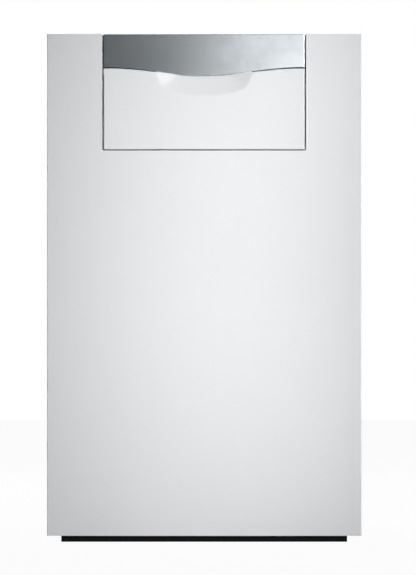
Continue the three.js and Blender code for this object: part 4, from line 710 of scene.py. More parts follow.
def plate(built, axis, outline, low, high, edge=0.0, holes=(), steps=2, finish=0):
    """Adds a flat body across an axis, from an outline and its holes, with rounded rims on both faces."""
    loops = [outline if signed_area(outline) > 0 else outline[::-1]]
    loops += [hole[::-1] if signed_area(hole) > 0 else hole for hole in holes]
    rows = [(0.0, low), (0.0, high)]
    if edge:
        arc = [math.radians(90 * i / steps) for i in range(steps + 1)]
        rows = [(edge * (1 - math.sin(t)), low + edge * (1 - math.cos(t))) for t in arc]
        rows += [(edge * (1 - math.cos(t)), high - edge * (1 - math.sin(t))) for t in arc]
    faces, ends = [], ([], [])
    for loop in loops:
        rings = [ring(built, axis, offset(loop, inset) if inset else loop, w) for inset, w in rows]
        for first, second in zip(rings, rings[1:]):
            faces += hoop(built, first, second)
        for end, rim in zip(ends, (rings[0], rings[-1])):
            end += [built.edges.get(pair) for pair in zip(rim, rim[1:] + rim[:1])]
    for end in ends:
        filled = bmesh.ops.triangle_fill(built, use_beauty=True, use_dissolve=False, edges=end)
        faces += [item for item in filled["geom"] if isinstance(item, bmesh.types.BMFace)]
    return closed_up(built, faces, finish)


def box(built, x, y, z, edge=0.0, corner=0.0, axis="z", finish=0, steps=2):
    """Adds a block between pairs of X, Y and Z, its corners and its rims along an axis rounded."""
    u, v, ends = {"x": (y, z, x), "y": (x, z, y), "z": (x, y, z)}[axis]
    outline = rectangle(*sorted(u), *sorted(v), max(corner, edge))
    return plate(built, axis, outline, *sorted(ends), edge, steps=steps, finish=finish)


def carved(made, cutter):
    """Cuts the closed bodies of a bmesh out of a piece."""
    tool = bpy.data.objects.new("cutter", bpy.data.meshes.new("cutter"))
    cutter.to_mesh(tool.data)
    cutter.free()
    scene.collection.objects.link(tool)
    cut = made.modifiers.new("cut", "BOOLEAN")
    cut.operation, cut.object, cut.solver = "DIFFERENCE", tool, "EXACT"
    settled(made)
    bpy.data.objects.remove(tool)


def reopened(made):
    """A finished piece's mesh as a bmesh, to add more bodies to it."""
    built = bmesh.new()
    built.from_mesh(made.data)
    return built


def put_back(built, made):
    """Puts a bmesh back into its piece."""
    built.to_mesh(made.data)
    built.free()


bar_x, bar_half, bar_low, bar_high, bar_front, bar_back = (-66.0, 0.0, 66.0), 13.0, 146.0, 184.0, 150.0, 500.0
bar_wall, bar_corner = 1.5, 5.0
mouth_y, mouth_radius, throat_radius, mouth_z = 108.0, 14.0, 12.0, 165.0
slot_count, slot_length, slot_width, slot_margin = 38, 15.0, 2.0, 18
for index, x in enumerate(bar_x):
    built = bmesh.new()
    box(built, about(x, bar_half), (bar_front, bar_back), (bar_low, bar_high), 1.4, bar_corner, "y", steps=3)
    bar = piece("burner_tube_%d" % (index + 1), built, burner_steel, "burner_steel")
    cutter = bmesh.new()
    inside = ((bar_front + bar_wall, bar_back - bar_wall), (bar_low + bar_wall, bar_high - bar_wall))
    box(cutter, (x - bar_half + bar_wall, x + bar_half - bar_wall), *inside, 0.0, bar_corner - bar_wall, "y")
    carved(bar, cutter)
    cutter = bmesh.new()
    disc(cutter, "y", throat_radius - 0.4, bar_front - 5, bar_front + 5, x, mouth_z, sides=40)
    for i in range(slot_count):
        y = bar_front + slot_margin + (bar_back - bar_front - 2 * slot_margin) * i / (slot_count - 1)
        box(cutter, about(x, slot_length / 2), about(y, slot_width / 2), about(bar_high, 8), 0.0, 0.9, "z")
    carved(bar, cutter)
    bell = reopened(bar)
    outer = [(mouth_radius, mouth_y), (mouth_radius - 0.3, mouth_y + 2.0), (12.9, mouth_y + 5.5)]
    outer += [(throat_radius, 121.0), (throat_radius, bar_front + 2)]
    profile = filleted(outer + [(r - bar_wall, y) for r, y in reversed(outer)], 1.2, 3, closed=True)
    turn(bell, "y", profile, x, mouth_z, 48, closed=True)
    # the crimped seam along both sides
    for side in (-1, 1):
        seam = (x + side * (bar_half - 0.6), x + side * (bar_half - 0.05))
        box(bell, seam, (bar_front + 6, bar_back - 6), (163.6, 166.4), 0.0, 0.4, "y")
    put_back(bell, bar)


# Burner rear rail: an angle folded from galvanised steel, between the end castings. The rear ends of the
# burner bars rest on it.
as_built("burner_rear_rail", galvanised, "galvanised_sheet", 0.5)


# Burner front plate: a galvanised plate that closes the chamber round the bell mouths. Eight hexagon
# screws with pressed washers hold it on the end castings.
plate_front, plate_back, sight_x, sight_z = 117.2, 119.7, -33.0, 205.0
mouth_hole, electrode_x = 12.85, (33.0, 57.0)
holes = [circle(x, mouth_z, mouth_hole, 48) for x in bar_x]
holes += [circle(x, sight_z, 4.8, 24) for x in electrode_x]
holes.append(circle(sight_x, sight_z, 9.0, 40))
built = bmesh.new()
plate(built, "y", rectangle(-167.3, 167.3, 96.0, 231.0, 4.0), plate_front, plate_back, 0.4, holes)
piece("burner_front_plate", built, galvanised, "galvanised_sheet")
screw_profile = [(0, -0.4), (5.6, -0.4), (5.6, 0.5), (4.3, 1.0), (0, 1.0)]
screw_head = head_shape("screw_head", screw_profile, 0.25, 28, across=6.9)
places = [(at(x, plate_front, z), (0, -1, 0)) for x in (-158, -100, 100, 158) for z in (104, 222)]
fixings("plate_screws", screw_head, places, zinc_plate)


# Sight glass: a turned ring of plated steel with a knurled rim, screwed into the front plate. It clamps a
# round pane of heat-resisting glass.
sight_pane = skin(
    "sight_pane", (0.86, 0.9, 0.9), (0.83, 0.87, 0.87), (0.04, 0.08), (3.0, 9.0, 0.3, 0.003),
    Transmission_Weight=0.9, IOR=1.5
)
built = bmesh.new()
holder = [(7.4, 112.9), (13.0, 112.9), (13.0, 116.9), (8.7, 116.9), (8.7, plate_back), (7.4, plate_back)]
turn(built, "y", filleted(holder, 0.5, 2, closed=True), sight_x, sight_z, 56, closed=True, finish=1)
for u, v in circle(sight_x, sight_z, 12.8, 24):
    disc(built, "y", 0.8, 113.5, 116.4, u, v, sides=8, finish=1)
disc(built, "y", 7.35, 114.6, 117.2, sight_x, sight_z, edge=0.3, sides=48)
piece("sight_glass", built, [sight_pane, zinc_plate], "sight_glass")


# Electrodes: one lights the burner and one watches the flame. Each is a glazed ceramic body in a pressed
# steel flange, with a heat-resisting wire through it that ends over a burner bar.
electrode_ceramic = skin(
    "electrode_ceramic", (0.82, 0.80, 0.75), (0.78, 0.75, 0.69), (0.12, 0.22), (1.4, 6.0, 0.4, 0.01),
    patch=12.0
)
for name, x in zip(("ignition_electrode", "monitoring_electrode"), electrode_x):
    built = bmesh.new()
    body = [(0, 103.6), (2.4, 103.6), (2.9, 104.4), (2.9, 107.0), (4.4, 109.6), (4.4, 113.2), (4.4, 146.6)]
    turn(built, "y", filleted(body + [(3.6, 146.9), (0, 146.9)], 0.5, 2), x, sight_z, 32)
    disc(built, "y", 7.9, 114.6, 116.9, x, sight_z, edge=0.4, sides=36, bore=4.45, finish=1)
    disc(built, "y", 1.3, 102.2, 168.8, x, sight_z, edge=0.5, sides=16, finish=2)
    piece(name, built, [electrode_ceramic, zinc_plate, burner_steel], "electrode_ceramic")


# Heat shield: a folded tray of galvanised sheet under the burner bars, which keeps their heat off the
# floor. It lies on the cross rails of the base frame.
as_built("heat_shield", galvanised, "galvanised_sheet", 0.4)


# Gas valve: a pressure die-cast body with two solenoid coils in moulded plastic, two brass test nipples and
# a slotted brass cap. It is screwed between the manifold's flange and the gas pipe.
die_cast = skin(
    "die_cast", (0.50, 0.51, 0.52), (0.40, 0.41, 0.42), (0.42, 0.6), (0.8, 3.5, 0.5, 0.03), metallic=0.95,
    patch=20.0
)
coil_plastic = skin(
    "coil_plastic", (0.022, 0.022, 0.025), (0.032, 0.032, 0.036), (0.4, 0.52), (0.3, 1.8, 0.4, 0.02)
)
brass = skin(
    "brass", (0.72, 0.55, 0.26), (0.62, 0.45, 0.20), (0.22, 0.36), (0.5, 3.0, 0.4, 0.008), metallic=1.0,
    patch=9.0
)
valve_x, valve_y, valve_z = (-252.0, -180.0), (50.0, 116.0), (108.0, 188.0)
built = bmesh.new()
box(built, valve_x, valve_y, valve_z, 2.0, 4.5, "z", steps=3)
# the parting seam round the body, five ribs on its front, a slotted cap and four screws
middle_x, middle_y = sum(valve_x) / 2, sum(valve_y) / 2
box(built, valve_x, (valve_y[0] + 2, valve_y[1] - 2), (146.4, 148.6), 0.4, 3.0, "z")
for k in range(5):
    left = valve_x[0] + 10 + 12 * k
    box(built, (left, left + 2.5), (valve_y[0] - 1.4, valve_y[0] + 3), (134, 147), 0.5, 0.9, "y")
cap = [(0, 47.8), (7.0, 47.8), (10.5, 47.8), (10.5, 54.5), (0, 54.5)]
turn(built, "y", filleted(cap, 0.7, 3), middle_x, 168.5, 40, finish=2)
nipple = [(1.6, 41.0), (3.2, 41.0), (3.2, 43.4), (4.5, 44.2), (4.5, 54.5), (1.6, 54.5)]
coil = [
    (0, 184), (14.9, 184), (14.9, 188), (14.9, 217.5), (12.6, 219.6), (5.8, 219.6), (5.8, 221.9), (0, 221.9)
]
for side in (-1, 1):
    x = middle_x + side * 17
    turn(built, "y", filleted(nipple, 0.4, 2, closed=True), x, 123, 28, closed=True, finish=2)
    hexagon(built, "y", 9.0, 46.2, 49.2, x, 123, bore=1.7, finish=2)
    turn(built, "z", filleted(coil, 1.0, 3), x, middle_y, 48, finish=1)
    for z in range(192, 213, 4):
        disc(built, "z", 15.0, z, z + 1.8, x, middle_y, edge=0.4, sides=48, bore=14.0, finish=1)
    hexagon(built, "z", 8.4, 219.4, 221.9, x, middle_y, chamfer=(False, True), finish=3)
    for y in (valve_y[0] + 7, valve_y[1] - 7):
        disc(built, "z", 3.6, 187, 190.6, middle_x + side * 29, y, edge=0.5, sides=24, finish=3)
piece("gas_valve", built, [die_cast, coil_plastic, brass, zinc_plate], "valve_body")


# Gas manifold: a square steel tube with a welded flange at the valve and two brackets on the burner's front
# plate. A brass injector is screwed into it in front of each bell mouth.
manifold_y, manifold_z, manifold_half, manifold_end, flange_half = 78.0, 165.0, 13.0, -179.7, 18
built = bmesh.new()
square = (about(manifold_y, manifold_half), about(manifold_z, manifold_half))
box(built, (manifold_end, 92.0), *square, 0.8, 2.4, "x", steps=3)
square = (about(manifold_y, flange_half), about(manifold_z, flange_half))
box(built, (manifold_end, manifold_end + 5.0), *square, 0.6, 4.0, "x")
for dy in (-1, 1):
    for dz in (-1, 1):
        disc(
            built, "x", 2.9, -175.2, -171.9, manifold_y + dy * 15.2, manifold_z + dz * 15.2, edge=0.4,
            sides=20, finish=1
        )
nozzle = [(1.1, 94), (5.0, 94), (5.0, 101.4), (3.4, 104.0), (1.1, 104.0)]
for x in bar_x:
    hexagon(built, "y", 12.8, 90.8, 96.0, x, manifold_z, bore=2.0, finish=2)
    turn(built, "y", filleted(nozzle, 0.4, 2, closed=True), x, manifold_z, 32, closed=True, finish=2)
for side in (-1, 1):
    x = side * bar_x[-1] / 2
    box(built, about(x, 1.5), (89.0, 116.4), (156, 174), 0.4, 0.6, "y")
    box(built, about(x, 9), (113.9, 116.9), (156, 174), 0.5, 2.0, "y")
    disc(built, "y", 3.4, 111.4, 114.2, x + 5.4, manifold_z, edge=0.4, sides=22, finish=1)
piece("gas_manifold", built, [galvanised, zinc_plate, brass], "pipe_steel")


# Gas pipe: a straight steel pipe from the valve to the rear, threaded for the connection behind the
# casing, with a plated hexagon union at each end.
pipe_steel = skin(
    "pipe_steel", (0.36, 0.36, 0.37), (0.27, 0.265, 0.26), (0.3, 0.48), (0.6, 4.0, 0.4, 0.018),
    metallic=1.0, patch=26.0, streak=4.0
)
gas_x, gas_z, gas_radius, gas_bore = -215.0, 136.0, 13.4, 10.0
built = bmesh.new()
disc(built, "y", gas_radius - 0.6, 117.0, 640.0, gas_x, gas_z, sides=48, bore=gas_bore)
thread(built, "y", gas_radius, 1.81, 628.0, 654.8, gas_x, gas_z, bore=gas_bore)
for low, high in ((116.4, 134.3), (608.0, 626.0)):
    hexagon(built, "y", 32.0, low, high, gas_x, gas_z, bore=gas_radius - 0.8, finish=1)
piece("gas_pipe", built, [pipe_steel, zinc_plate], "pipe_steel")


# Flue collector: a hood of galvanised sheet on top of the castings, folded and spot-welded. Its duct leads
# back through the rear panel.
as_built("flue_collector", galvanised, "galvanised_sheet", 0.7, 30)
dimple = [(0, -0.3), (3.0, -0.3), (3.0, 0.02), (2.2, 0.22), (1.2, 0.1), (0, 0.05)]
weld_dimple = head_shape("weld_dimple", dimple, 0.0, 20)
welds = [(at(side * 126, y, 612), (side, 0, 0)) for side in (-1, 1) for y in range(210, 500, 40)]
welds += [(at(x, 126, 591.5), (0, -1, 0)) for x in range(-110, 111, 44)]
fixings("collector_welds", weld_dimple, welds, galvanised)


# Cleaning cover: a pressed lid of galvanised sheet over the collector's opening, under two wing nuts on
# studs.
cover_z, cover_sheet, cover_stud_y = 640.3, 1.5, (270.0, 430.0)
wing = [(0.0, 646.0), (6.5, 646.8), (11.0, 649.6), (14.8, 653.0), (14.9, 654.2), (12.5, 654.3), (8.0, 653.0)]
wing += [(4.0, 651.5), (0.0, 651.0)]
boss = [(0, cover_z + 1), (7.0, cover_z + 1), (7.0, 645.5), (5.2, 650.0), (4.6, 654.0), (0, 654.0)]
built = bmesh.new()
box(built, (-80, 80), (256, 444), (cover_z, cover_z + cover_sheet), 0.4, 6.0, "z")
box(built, (-62, 62), (276, 424), (cover_z + 0.6, cover_z + cover_sheet + 1.6), 1.0, 8.0, "z", steps=3)
for y in cover_stud_y:
    turn(built, "z", filleted(boss, 0.6, 3), 0, y, 32, finish=1)
    disc(built, "z", 2.6, 653.5, 657.5, 0, y, sides=20, finish=1)
    for side in (-1, 1):
        outline = filleted([(side * u, z) for u, z in wing], 1.2, 3, closed=True)
        plate(built, "y", outline, y - 1.7, y + 1.7, 0.4, finish=1)
piece("cleaning_cover", built, [galvanised, zinc_plate], "galvanised_sheet")


# Draught diverter: a hood of folded galvanised sheet behind the rear panel, open below, with a baffle
# inside and a beaded spigot for the flue pipe. Its seams are spot-welded.
half, front, back, neck, low, high, slope, sheet_wall = 150.0, 600.3, 705.0, 690.0, 470.0, 800.0, 28.0, 1.5
duct_z, duct_bore, spigot_z = (594, 642), 63.2, 690


def diverter_side(inset, below):
    """The hood's outline from the side, moved inwards by an inset and run on below its rim."""
    return [
        (front + inset, low - below), (back - inset, low - below), (back - inset, low + 4),
        (neck - inset, low + 70), (neck - inset, high - slope - inset / 2),
        (neck - slope - inset / 2, high - inset), (front + inset, high - inset),
    ]


built = bmesh.new()
plate(built, "x", filleted(diverter_side(0, 0), 2.2, 3, closed=True), -half, half, 1.4, steps=3)
diverter = piece("draught_diverter", built, galvanised, "galvanised_sheet")
cutter = bmesh.new()
plate(
    cutter, "x", filleted(diverter_side(sheet_wall, 20), 1.0, 2, closed=True), -half + sheet_wall,
    half - sheet_wall
)
carved(diverter, cutter)
cutter = bmesh.new()
disc(cutter, "y", duct_bore, 680, 700, 0, spigot_z, sides=96)
box(cutter, (-107, 107), (590, 603), duct_z, 0.0, 2.0, "y")
carved(diverter, cutter)
built = reopened(diverter)
spigot = [(63.0, 688.0), (66.6, 688.0), (66.6, 691.4), (65.0, 692.6), (65.0, 733.5), (66.6, 736.0)]
spigot += [(67.0, 738.0), (66.6, 740.0), (65.0, 742.5), (65.0, 749.6), (63.9, 749.9), (63.4, 749.0)]
spigot += [(63.4, 742.0), (65.3, 738.0), (63.4, 734.0), (63.4, 690)]
turn(built, "y", filleted(spigot, 0.9, 3, closed=True), 0, spigot_z, 96, closed=True)
box(built, (-149.2, 149.2), (642.3, 643.8), (570, 666), 0.3, 3.0, "y")
# the folded seam flanges at both sides and the rolled lower rim
for side in (-1, 1):
    box(built, (side * 149.0, side * 150.9), (600.5, 612.5), (480, 792), 0.4, 1.0, "z")
box(built, (-149.9, 149.9), (703.2, 705.9), (470.2, 473.2), 1.2, 1.3, "x", steps=3)
put_back(built, diverter)
welds = [(at(side * 150.9, 606.5, z), (side, 0, 0)) for side in (-1, 1) for z in range(495, 790, 42)]
welds += [(at(x, 690.0, z), (0, 1, 0)) for x in (-138, 138) for z in range(560, 765, 40)]
fixings("diverter_welds", weld_dimple, welds, galvanised)
bpy.data.objects.remove(weld_dimple)


# Water side: one-inch steel pipes, flanged with screws to the right end casting, bent back round a 34 mm
# radius and threaded behind a hexagon at the rear. The return ends in a cast tee with the drain cock.


def bent(points, radius, steps=14):
    """A route through points with each corner bent to an arc."""
    made = [Vector(points[0])]
    for before, corner, after in zip(points, points[1:], points[2:]):
        corner = Vector(corner)
        back, ahead = ((Vector(point) - corner).normalized() for point in (before, after))
        half = back.angle(ahead) / 2
        centre = corner + (back + ahead).normalized() * radius / math.sin(half)
        first, last = (corner + arm * radius / math.tan(half) - centre for arm in (back, ahead))
        sweep = first.angle(last)
        for t in [i / steps for i in range(steps + 1)]:
            swung = first * math.sin(sweep * (1 - t)) + last * math.sin(sweep * t)
            made.append(centre + swung / math.sin(sweep))
    return made + [Vector(points[-1])]


def pipe(built, route, radius, bore, sides=40):
    """Adds a tube along a route in millimetres."""
    side = (route[1] - route[0]).orthogonal().normalized()
    shells = [[], []]
    for i, point in enumerate(route):
        ahead = (route[min(i + 1, len(route) - 1)] - route[max(i - 1, 0)]).normalized()
        side = (side - ahead * side.dot(ahead)).normalized()
        beside = ahead.cross(side)
        for shell, r in zip(shells, (radius, bore)):
            spokes = [
                side * math.cos(t) + beside * math.sin(t)
                for t in [2 * math.pi * k / sides for k in range(sides)]
            ]
            shell.append([built.verts.new(at(*(point + spoke * r))) for spoke in spokes])
    outer, inner = shells
    for low, high in zip(outer, outer[1:]):
        hoop(built, low, high)
    for low, high in zip(inner, inner[1:]):
        hoop(built, high, low)
    hoop(built, inner[0], outer[0])
    hoop(built, outer[-1], inner[-1])


pipe_x, pipe_radius, pipe_bore, seat_x, bend = 205.0, 16.8, 13.4, 142.6, 34.0
tube_radius = pipe_radius - 0.5
flange = [(pipe_bore, seat_x), (29.0, seat_x), (29.0, seat_x + 8), (20.0, seat_x + 8)]
flange += [(tube_radius, seat_x + 10.5), (pipe_bore, seat_x + 10.5)]
for name, z, end in (("flow_pipe", flow_z, 640.0), ("return_pipe", return_z, 634.0)):
    built = bmesh.new()
    pipe(
        built, bent([(seat_x, port_y, z), (pipe_x, port_y, z), (pipe_x, end, z)], bend), tube_radius,
        pipe_bore
    )
    turn(built, "x", filleted(flange, 0.9, 3, closed=True), port_y, z, 56, closed=True)
    for k in range(4):
        t = math.radians(45 + 90 * k)
        u, v = port_y + 23.6 * math.cos(t), z + 23.6 * math.sin(t)
        hexagon(built, "x", 8.0, seat_x + 7.6, seat_x + 12.6, u, v, chamfer=(False, True), finish=1)
    hexagon(built, "y", 41.0, 608.0, 626.0, pipe_x, z, bore=pipe_radius - 0.8, finish=1)
    if name == "flow_pipe":
        thread(built, "y", pipe_radius, 2.31, 636.0, 664.8, pipe_x, z, bore=pipe_bore)
    else:
        tee = [(pipe_bore, 629.0), (18.0, 629.0), (19.6, 631.0), (19.6, 654.5), (pipe_bore, 654.5)]
        turn(built, "y", filleted(tee, 0.9, 3, closed=True), pipe_x, z, 56, closed=True, finish=2)
        hexagon(built, "y", 37.5, 652.0, 664.8, pipe_x, z, bore=pipe_bore, finish=2)
        branch = [(0, 252), (11.0, 252), (11.0, 241.4), (10.2, 240.1), (0, 240.1)]
        turn(built, "z", filleted(branch, 0.6, 3), pipe_x, 648.0, 40, finish=2)
    piece(name, built, [pipe_steel, zinc_plate, brass], "pipe_steel")


# Drain cock: a turned and drilled brass body under the tee, with a ribbed hose tail below it. A lever of
# red plastic, screwed on the spindle, turns it a quarter round.
drain_y, drain_top, drain_neck, tail_low, spindle_z = 648.0, 239.7, 230.7, 180.7, 215.7
built = bmesh.new()
hexagon(built, "z", 19.0, drain_neck, drain_top, pipe_x, drain_y, bore=3.5)
body = [(3.5, 232.0), (8.6, 232.0), (9.9, 229.0), (9.9, 204.0), (8.0, 200.4), (6.2, 199.4), (6.2, 198.0)]
for k in range(3):
    top = 197.2 - 5.2 * k
    body += [(6.9, top), (5.6, top - 4.6)]
body += [(5.4, tail_low + 0.6), (4.8, tail_low), (3.5, tail_low)]
turn(built, "z", filleted(body, 0.35, 2, closed=True), pipe_x, drain_y, 40, closed=True)
spindle = [(0, 650), (8.4, 650), (8.4, 656.6), (6.4, 657.6), (6.4, 660.8), (0, 660.8)]
turn(built, "y", filleted(spindle, 0.5, 3), pipe_x, spindle_z, 40)
piece("drain_cock", built, brass, "drain_brass")
lever_red = skin(
    "lever_red", (0.50, 0.028, 0.022), (0.42, 0.022, 0.018), (0.3, 0.42), (0.3, 1.6, 0.4, 0.012), patch=18.0
)
built = bmesh.new()
disc(built, "y", 6.5, 661.4, 668.3, pipe_x, spindle_z, edge=0.6, sides=40, steps=3)
arm = [(4.2, 3.6), (5.0, -3.0), (3.4, -14.0), (3.9, -30.0), (2.2, -33.9)]
arm += [(-u, v) for u, v in reversed(arm)]
plate(
    built, "y", filleted([(pipe_x + u, spindle_z + v) for u, v in arm], 2.2, 4, closed=True), 665.2, 668.2,
    0.9, steps=3
)
turn(
    built, "y", [(0, 667.6), (2.4, 667.6), (2.4, 668.9), (1.9, 669.3), (0, 669.3)], pipe_x, spindle_z, 24,
    finish=1
)
piece("drain_cock_lever", built, [lever_red, zinc_plate], "lever_red", "drain_cock_lever")


# Rear panel: a flat powder-coated sheet with cut-outs for the duct and the pipes, closed round the pipes by
# rubber plates. Hexagon screws hold it on the flanges of the side panels.
white_enamel = skin(
    "white_enamel", (0.885, 0.892, 0.9), (0.87, 0.878, 0.887), (0.34, 0.4), (2.6, 9.0, 0.35, 0.012),
    patch=160.0, streak=14.0, streak_share=0.15
)
sheet_mm, rear_face = 1.2, 600.0
as_built("rear_panel", white_enamel, "white_enamel", 0.4, 30)
rubber = skin("rubber", (0.016, 0.016, 0.017), (0.024, 0.024, 0.025), (0.6, 0.75), (0.4, 2.0, 0.4, 0.02))
seals = [(pipe_x, flow_z, 23.5, 17.0), (pipe_x, return_z, 23.5, 17.0), (gas_x, gas_z, 19.5, 13.6)]
built = bmesh.new()
for x, z, half, hole in seals:
    outline = rectangle(*about(x, half), *about(z, half), 5.0)
    plate(built, "y", outline, rear_face, rear_face + 1.6, 0.6, [circle(x, z, hole + 3.4, 40)])
    lip = [(hole, 598.0), (hole + 4.0, 598.0), (hole + 4.0, 603.0), (hole + 1.4, 604.6), (hole, 604.6)]
    turn(built, "y", filleted(lip, 0.7, 3, closed=True), x, z, 48, closed=True)
piece("", built, rubber, "dark_plastic", name="pipe_seals")
places = [(side * 251.5, z) for side in (-1, 1) for z in (40, 195, 350, 505, 660, 795)]
places += [(x, 803) for x in (-165, 165)] + [(x, 24) for x in (-160, 0, 160)]
screws = [(at(x, rear_face, z), (0, 1, 0)) for x, z in places]
fixings("rear_screws", screw_head, screws, zinc_plate)
cover_screws = [(at(x, rear_face, 829), (0, 1, 0)) for x in (-200, 200)]
fixings("cover_screws", screw_head, cover_screws, zinc_plate, "top_cover")
bpy.data.objects.remove(screw_head)


# Cable gland: a moulded nut on either side of the rear panel and a domed cap with grip ribs, all of black
# plastic. Its inlet is bare.
black_plastic = skin(
    "black_plastic", (0.020, 0.021, 0.023), (0.028, 0.029, 0.032), (0.36, 0.5), (0.3, 1.6, 0.4, 0.016),
    patch=30.0
)
gland_x, gland_z = -205.0, 700.0
built = bmesh.new()
for low in (600.3, 591.5):
    hexagon(built, "y", 20.6, low, low + 7.0, gland_x, gland_z, bore=4.6)
cap = [(4.2, 598), (7.6, 598), (7.6, 607), (9.4, 608.2), (9.4, 613.0), (8.6, 615.6), (6.4, 618.6)]
cap += [(5.2, 619.2), (4.2, 619.0)]
turn(built, "y", filleted(cap, 0.6, 3, closed=True), gland_x, gland_z, 48, closed=True)
for u, v in circle(gland_x, gland_z, 9.3, 12):
    disc(built, "y", 0.9, 608.0, 613.4, u, v, edge=0.3, sides=10)
piece("cable_gland", built, black_plastic, "dark_plastic")


# Side panels: flat powder-coated sheets, folded along all four edges and screwed to the base frame and to
# the rear panel. Their outer edges are rolled to 1.1 mm.
def rolled(built, folds, radius):
    """Rolls edges of a bmesh to a radius in millimetres."""
    bmesh.ops.bevel(
        built,
        geom=folds,
        offset=radius / 1000,
        offset_type="OFFSET",
        segments=3,
        profile=0.5,
        affect="EDGES",
        clamp_overlap=True,
    )


for name in ("left_side_panel", "right_side_panel"):
    built = merged(name)
    folds = [e for e in built.edges if all(abs(abs(v.co.x) - 0.26) < 1e-5 for v in e.verts)]
    rolled(built, folds, 1.1)
    side_panel = piece(name, built, white_enamel, "white_enamel")
    bevelled(side_panel, 0.25, 50)
    evened(side_panel)


# Top cover: a shallow pan of the same sheet, its side edges rolled to 6 mm, that lifts off the side panels.
def sheet(built, rows):
    """Adds an open sheet through rows of points, and returns its vertices row by row."""
    grid = [[built.verts.new(at(*point)) for point in row] for row in rows]
    for low, high in zip(grid, grid[1:]):
        for i in range(len(low) - 1):
            built.faces.new([low[i], low[i + 1], high[i + 1], high[i]])
    return grid


def folded(built, inside, edge_radius, sharp=45, where=None):
    """Turns an open sheet's faces away from a point inside it and rolls its folds to a radius."""
    bmesh.ops.remove_doubles(built, verts=built.verts, dist=1e-6)
    bmesh.ops.recalc_face_normals(built, faces=built.faces)
    nearest = min(built.faces, key=lambda face: (face.calc_center_median() - inside).length)
    if nearest.normal.dot(nearest.calc_center_median() - inside) < 0:
        bmesh.ops.reverse_faces(built, faces=built.faces)
    folds = [
        e for e in built.edges if len(e.link_faces) == 2 and e.calc_face_angle(0.0) > math.radians(sharp)
    ]
    folds = [e for e in folds if where is None or where((e.verts[0].co + e.verts[1].co) / 2)]
    rolled(built, folds, edge_radius)


def walled(made, wall, edge=0.0):
    """Gives an open sheet its wall, on the side that its faces look away from."""
    solid = made.modifiers.new("wall", "SOLIDIFY")
    solid.thickness, solid.offset = wall / 1000, -1.0
    if edge:
        bevelled(made, edge, 50)
    return evened(made)


roll, cover_low, cover_high, cover_front = 6.0, 817.0, 841.0, 41.8
quarter = [math.radians(90 * i / 8) for i in range(9)]
right = [(260.0, cover_low)]
right += [(260 - roll + roll * math.cos(t), cover_high - roll + roll * math.sin(t)) for t in quarter]
arch = right + [(100.0 * i, cover_high) for i in (2, 1, 0, -1, -2)] + [(-x, z) for x, z in reversed(right)]
built = bmesh.new()
rows = sheet(built, [[(x, y, z) for x, z in arch] for y in (cover_front, 180.0, 320.0, 460.0, rear_face)])
for row in (rows[0], rows[-1]):
    built.faces.new(row)
folded(built, at(0, 320, 0), 1.4)
walled(piece("top_cover", built, white_enamel, "white_enamel", "top_cover"), sheet_mm)


# Upper front rail: a channel folded from 2 mm galvanised steel, fixed between the side panels. The console
# stands on it.
as_built("upper_front_rail", galvanised, "galvanised_sheet", 0.5)


# Control housing: an open-fronted box of black flame-retardant plastic with cable slots low in its back. It
# stands on the upper front rail, behind the fascia.
as_built("control_housing", black_plastic, "dark_plastic", 0.8)


# Circuit board: a green glass-fibre board on four pillars in the housing. It carries a transformer, four
# relays, a row of terminals, capacitors, chips and small parts.
board_green = skin(
    "board_green", (0.012, 0.11, 0.045), (0.010, 0.09, 0.038), (0.25, 0.38), (0.4, 2.4, 0.4, 0.006),
    patch=20.0
)
relay_blue = skin("relay_blue", (0.03, 0.07, 0.20), (0.025, 0.06, 0.17), (0.32, 0.42), (0.3, 1.8, 0.4, 0.01))
terminal_grey = skin(
    "terminal_grey", (0.42, 0.43, 0.44), (0.38, 0.39, 0.40), (0.4, 0.52), (0.3, 1.8, 0.4, 0.012)
)
solder = skin(
    "solder", (0.72, 0.72, 0.70), (0.62, 0.62, 0.60), (0.2, 0.34), (0.2, 1.2, 0.4, 0.006), metallic=1.0,
    patch=6.0
)
floor_z, board_z, board_top, board_half, board_front, board_back = 654.6, 662.6, 664.2, 140.0, 55.3, 199.3
board_middle = (board_front + board_back) / 2
pillars = [(side * 126, y) for side in (-1, 1) for y in (69.3, 185.3)]
on_board, pins_high = (board_top, board_top + 2.4), (board_top, board_top + 0.5)


def block(built, x, y, z, finish):
    """Adds a small plain block between pairs of X, Y and Z."""
    v = [built.verts.new(at(a, b, c)) for c in z for b in y for a in x]
    for corners in ((0, 2, 3, 1), (4, 5, 7, 6), (0, 1, 5, 4), (2, 6, 7, 3), (0, 4, 6, 2), (1, 3, 7, 5)):
        built.faces.new([v[i] for i in corners]).material_index = finish


outline = rectangle(-board_half, board_half, board_front, board_back, 2.0)
post = [(0, floor_z), (3.0, floor_z), (2.6, board_z - 0.1), (0, board_z - 0.1)]
rivet = [(0, board_top), (2.9, board_top), (2.7, board_top + 2.0), (0, board_top + 2.0)]
built = bmesh.new()
plate(built, "z", outline, board_z, board_top, 0.2, [circle(x, y, 1.6, 16) for x, y in pillars])
for x, y in pillars:
    turn(built, "z", filleted(post, 0.3, 2), x, y, 20, finish=1)
    turn(built, "z", filleted(rivet, 0.4, 2), x, y, 20, finish=4)
# the transformer and its sheets, four relays and a row of terminals
box(built, (82, 126), about(board_middle, 22), (board_top, board_top + 36), 1.0, 2.0, "z", finish=1)
for k in range(6):
    y = board_middle - 14 + 4.6 * k
    box(built, (80.8, 127.2), (y, y + 2.4), (board_top + 3, board_top + 33), 0.4, 0.6, "x", finish=4)
for k in range(4):
    left = -112 + 24 * k
    box(
        built, (left, left + 16), about(board_middle, 8), (board_top, board_top + 20), 0.5, 0.9, "z",
        finish=2
    )
for k in range(14):
    left = -126 + k * 12.3
    box(built, (left, left + 11.9), (183.3, 199.0), (board_top, board_top + 14), 0.5, 0.6, "z", finish=3)
    disc(built, "z", 2.4, board_top + 13.6, board_top + 14.0, left + 6, 190.5, edge=0.2, sides=18, finish=4)
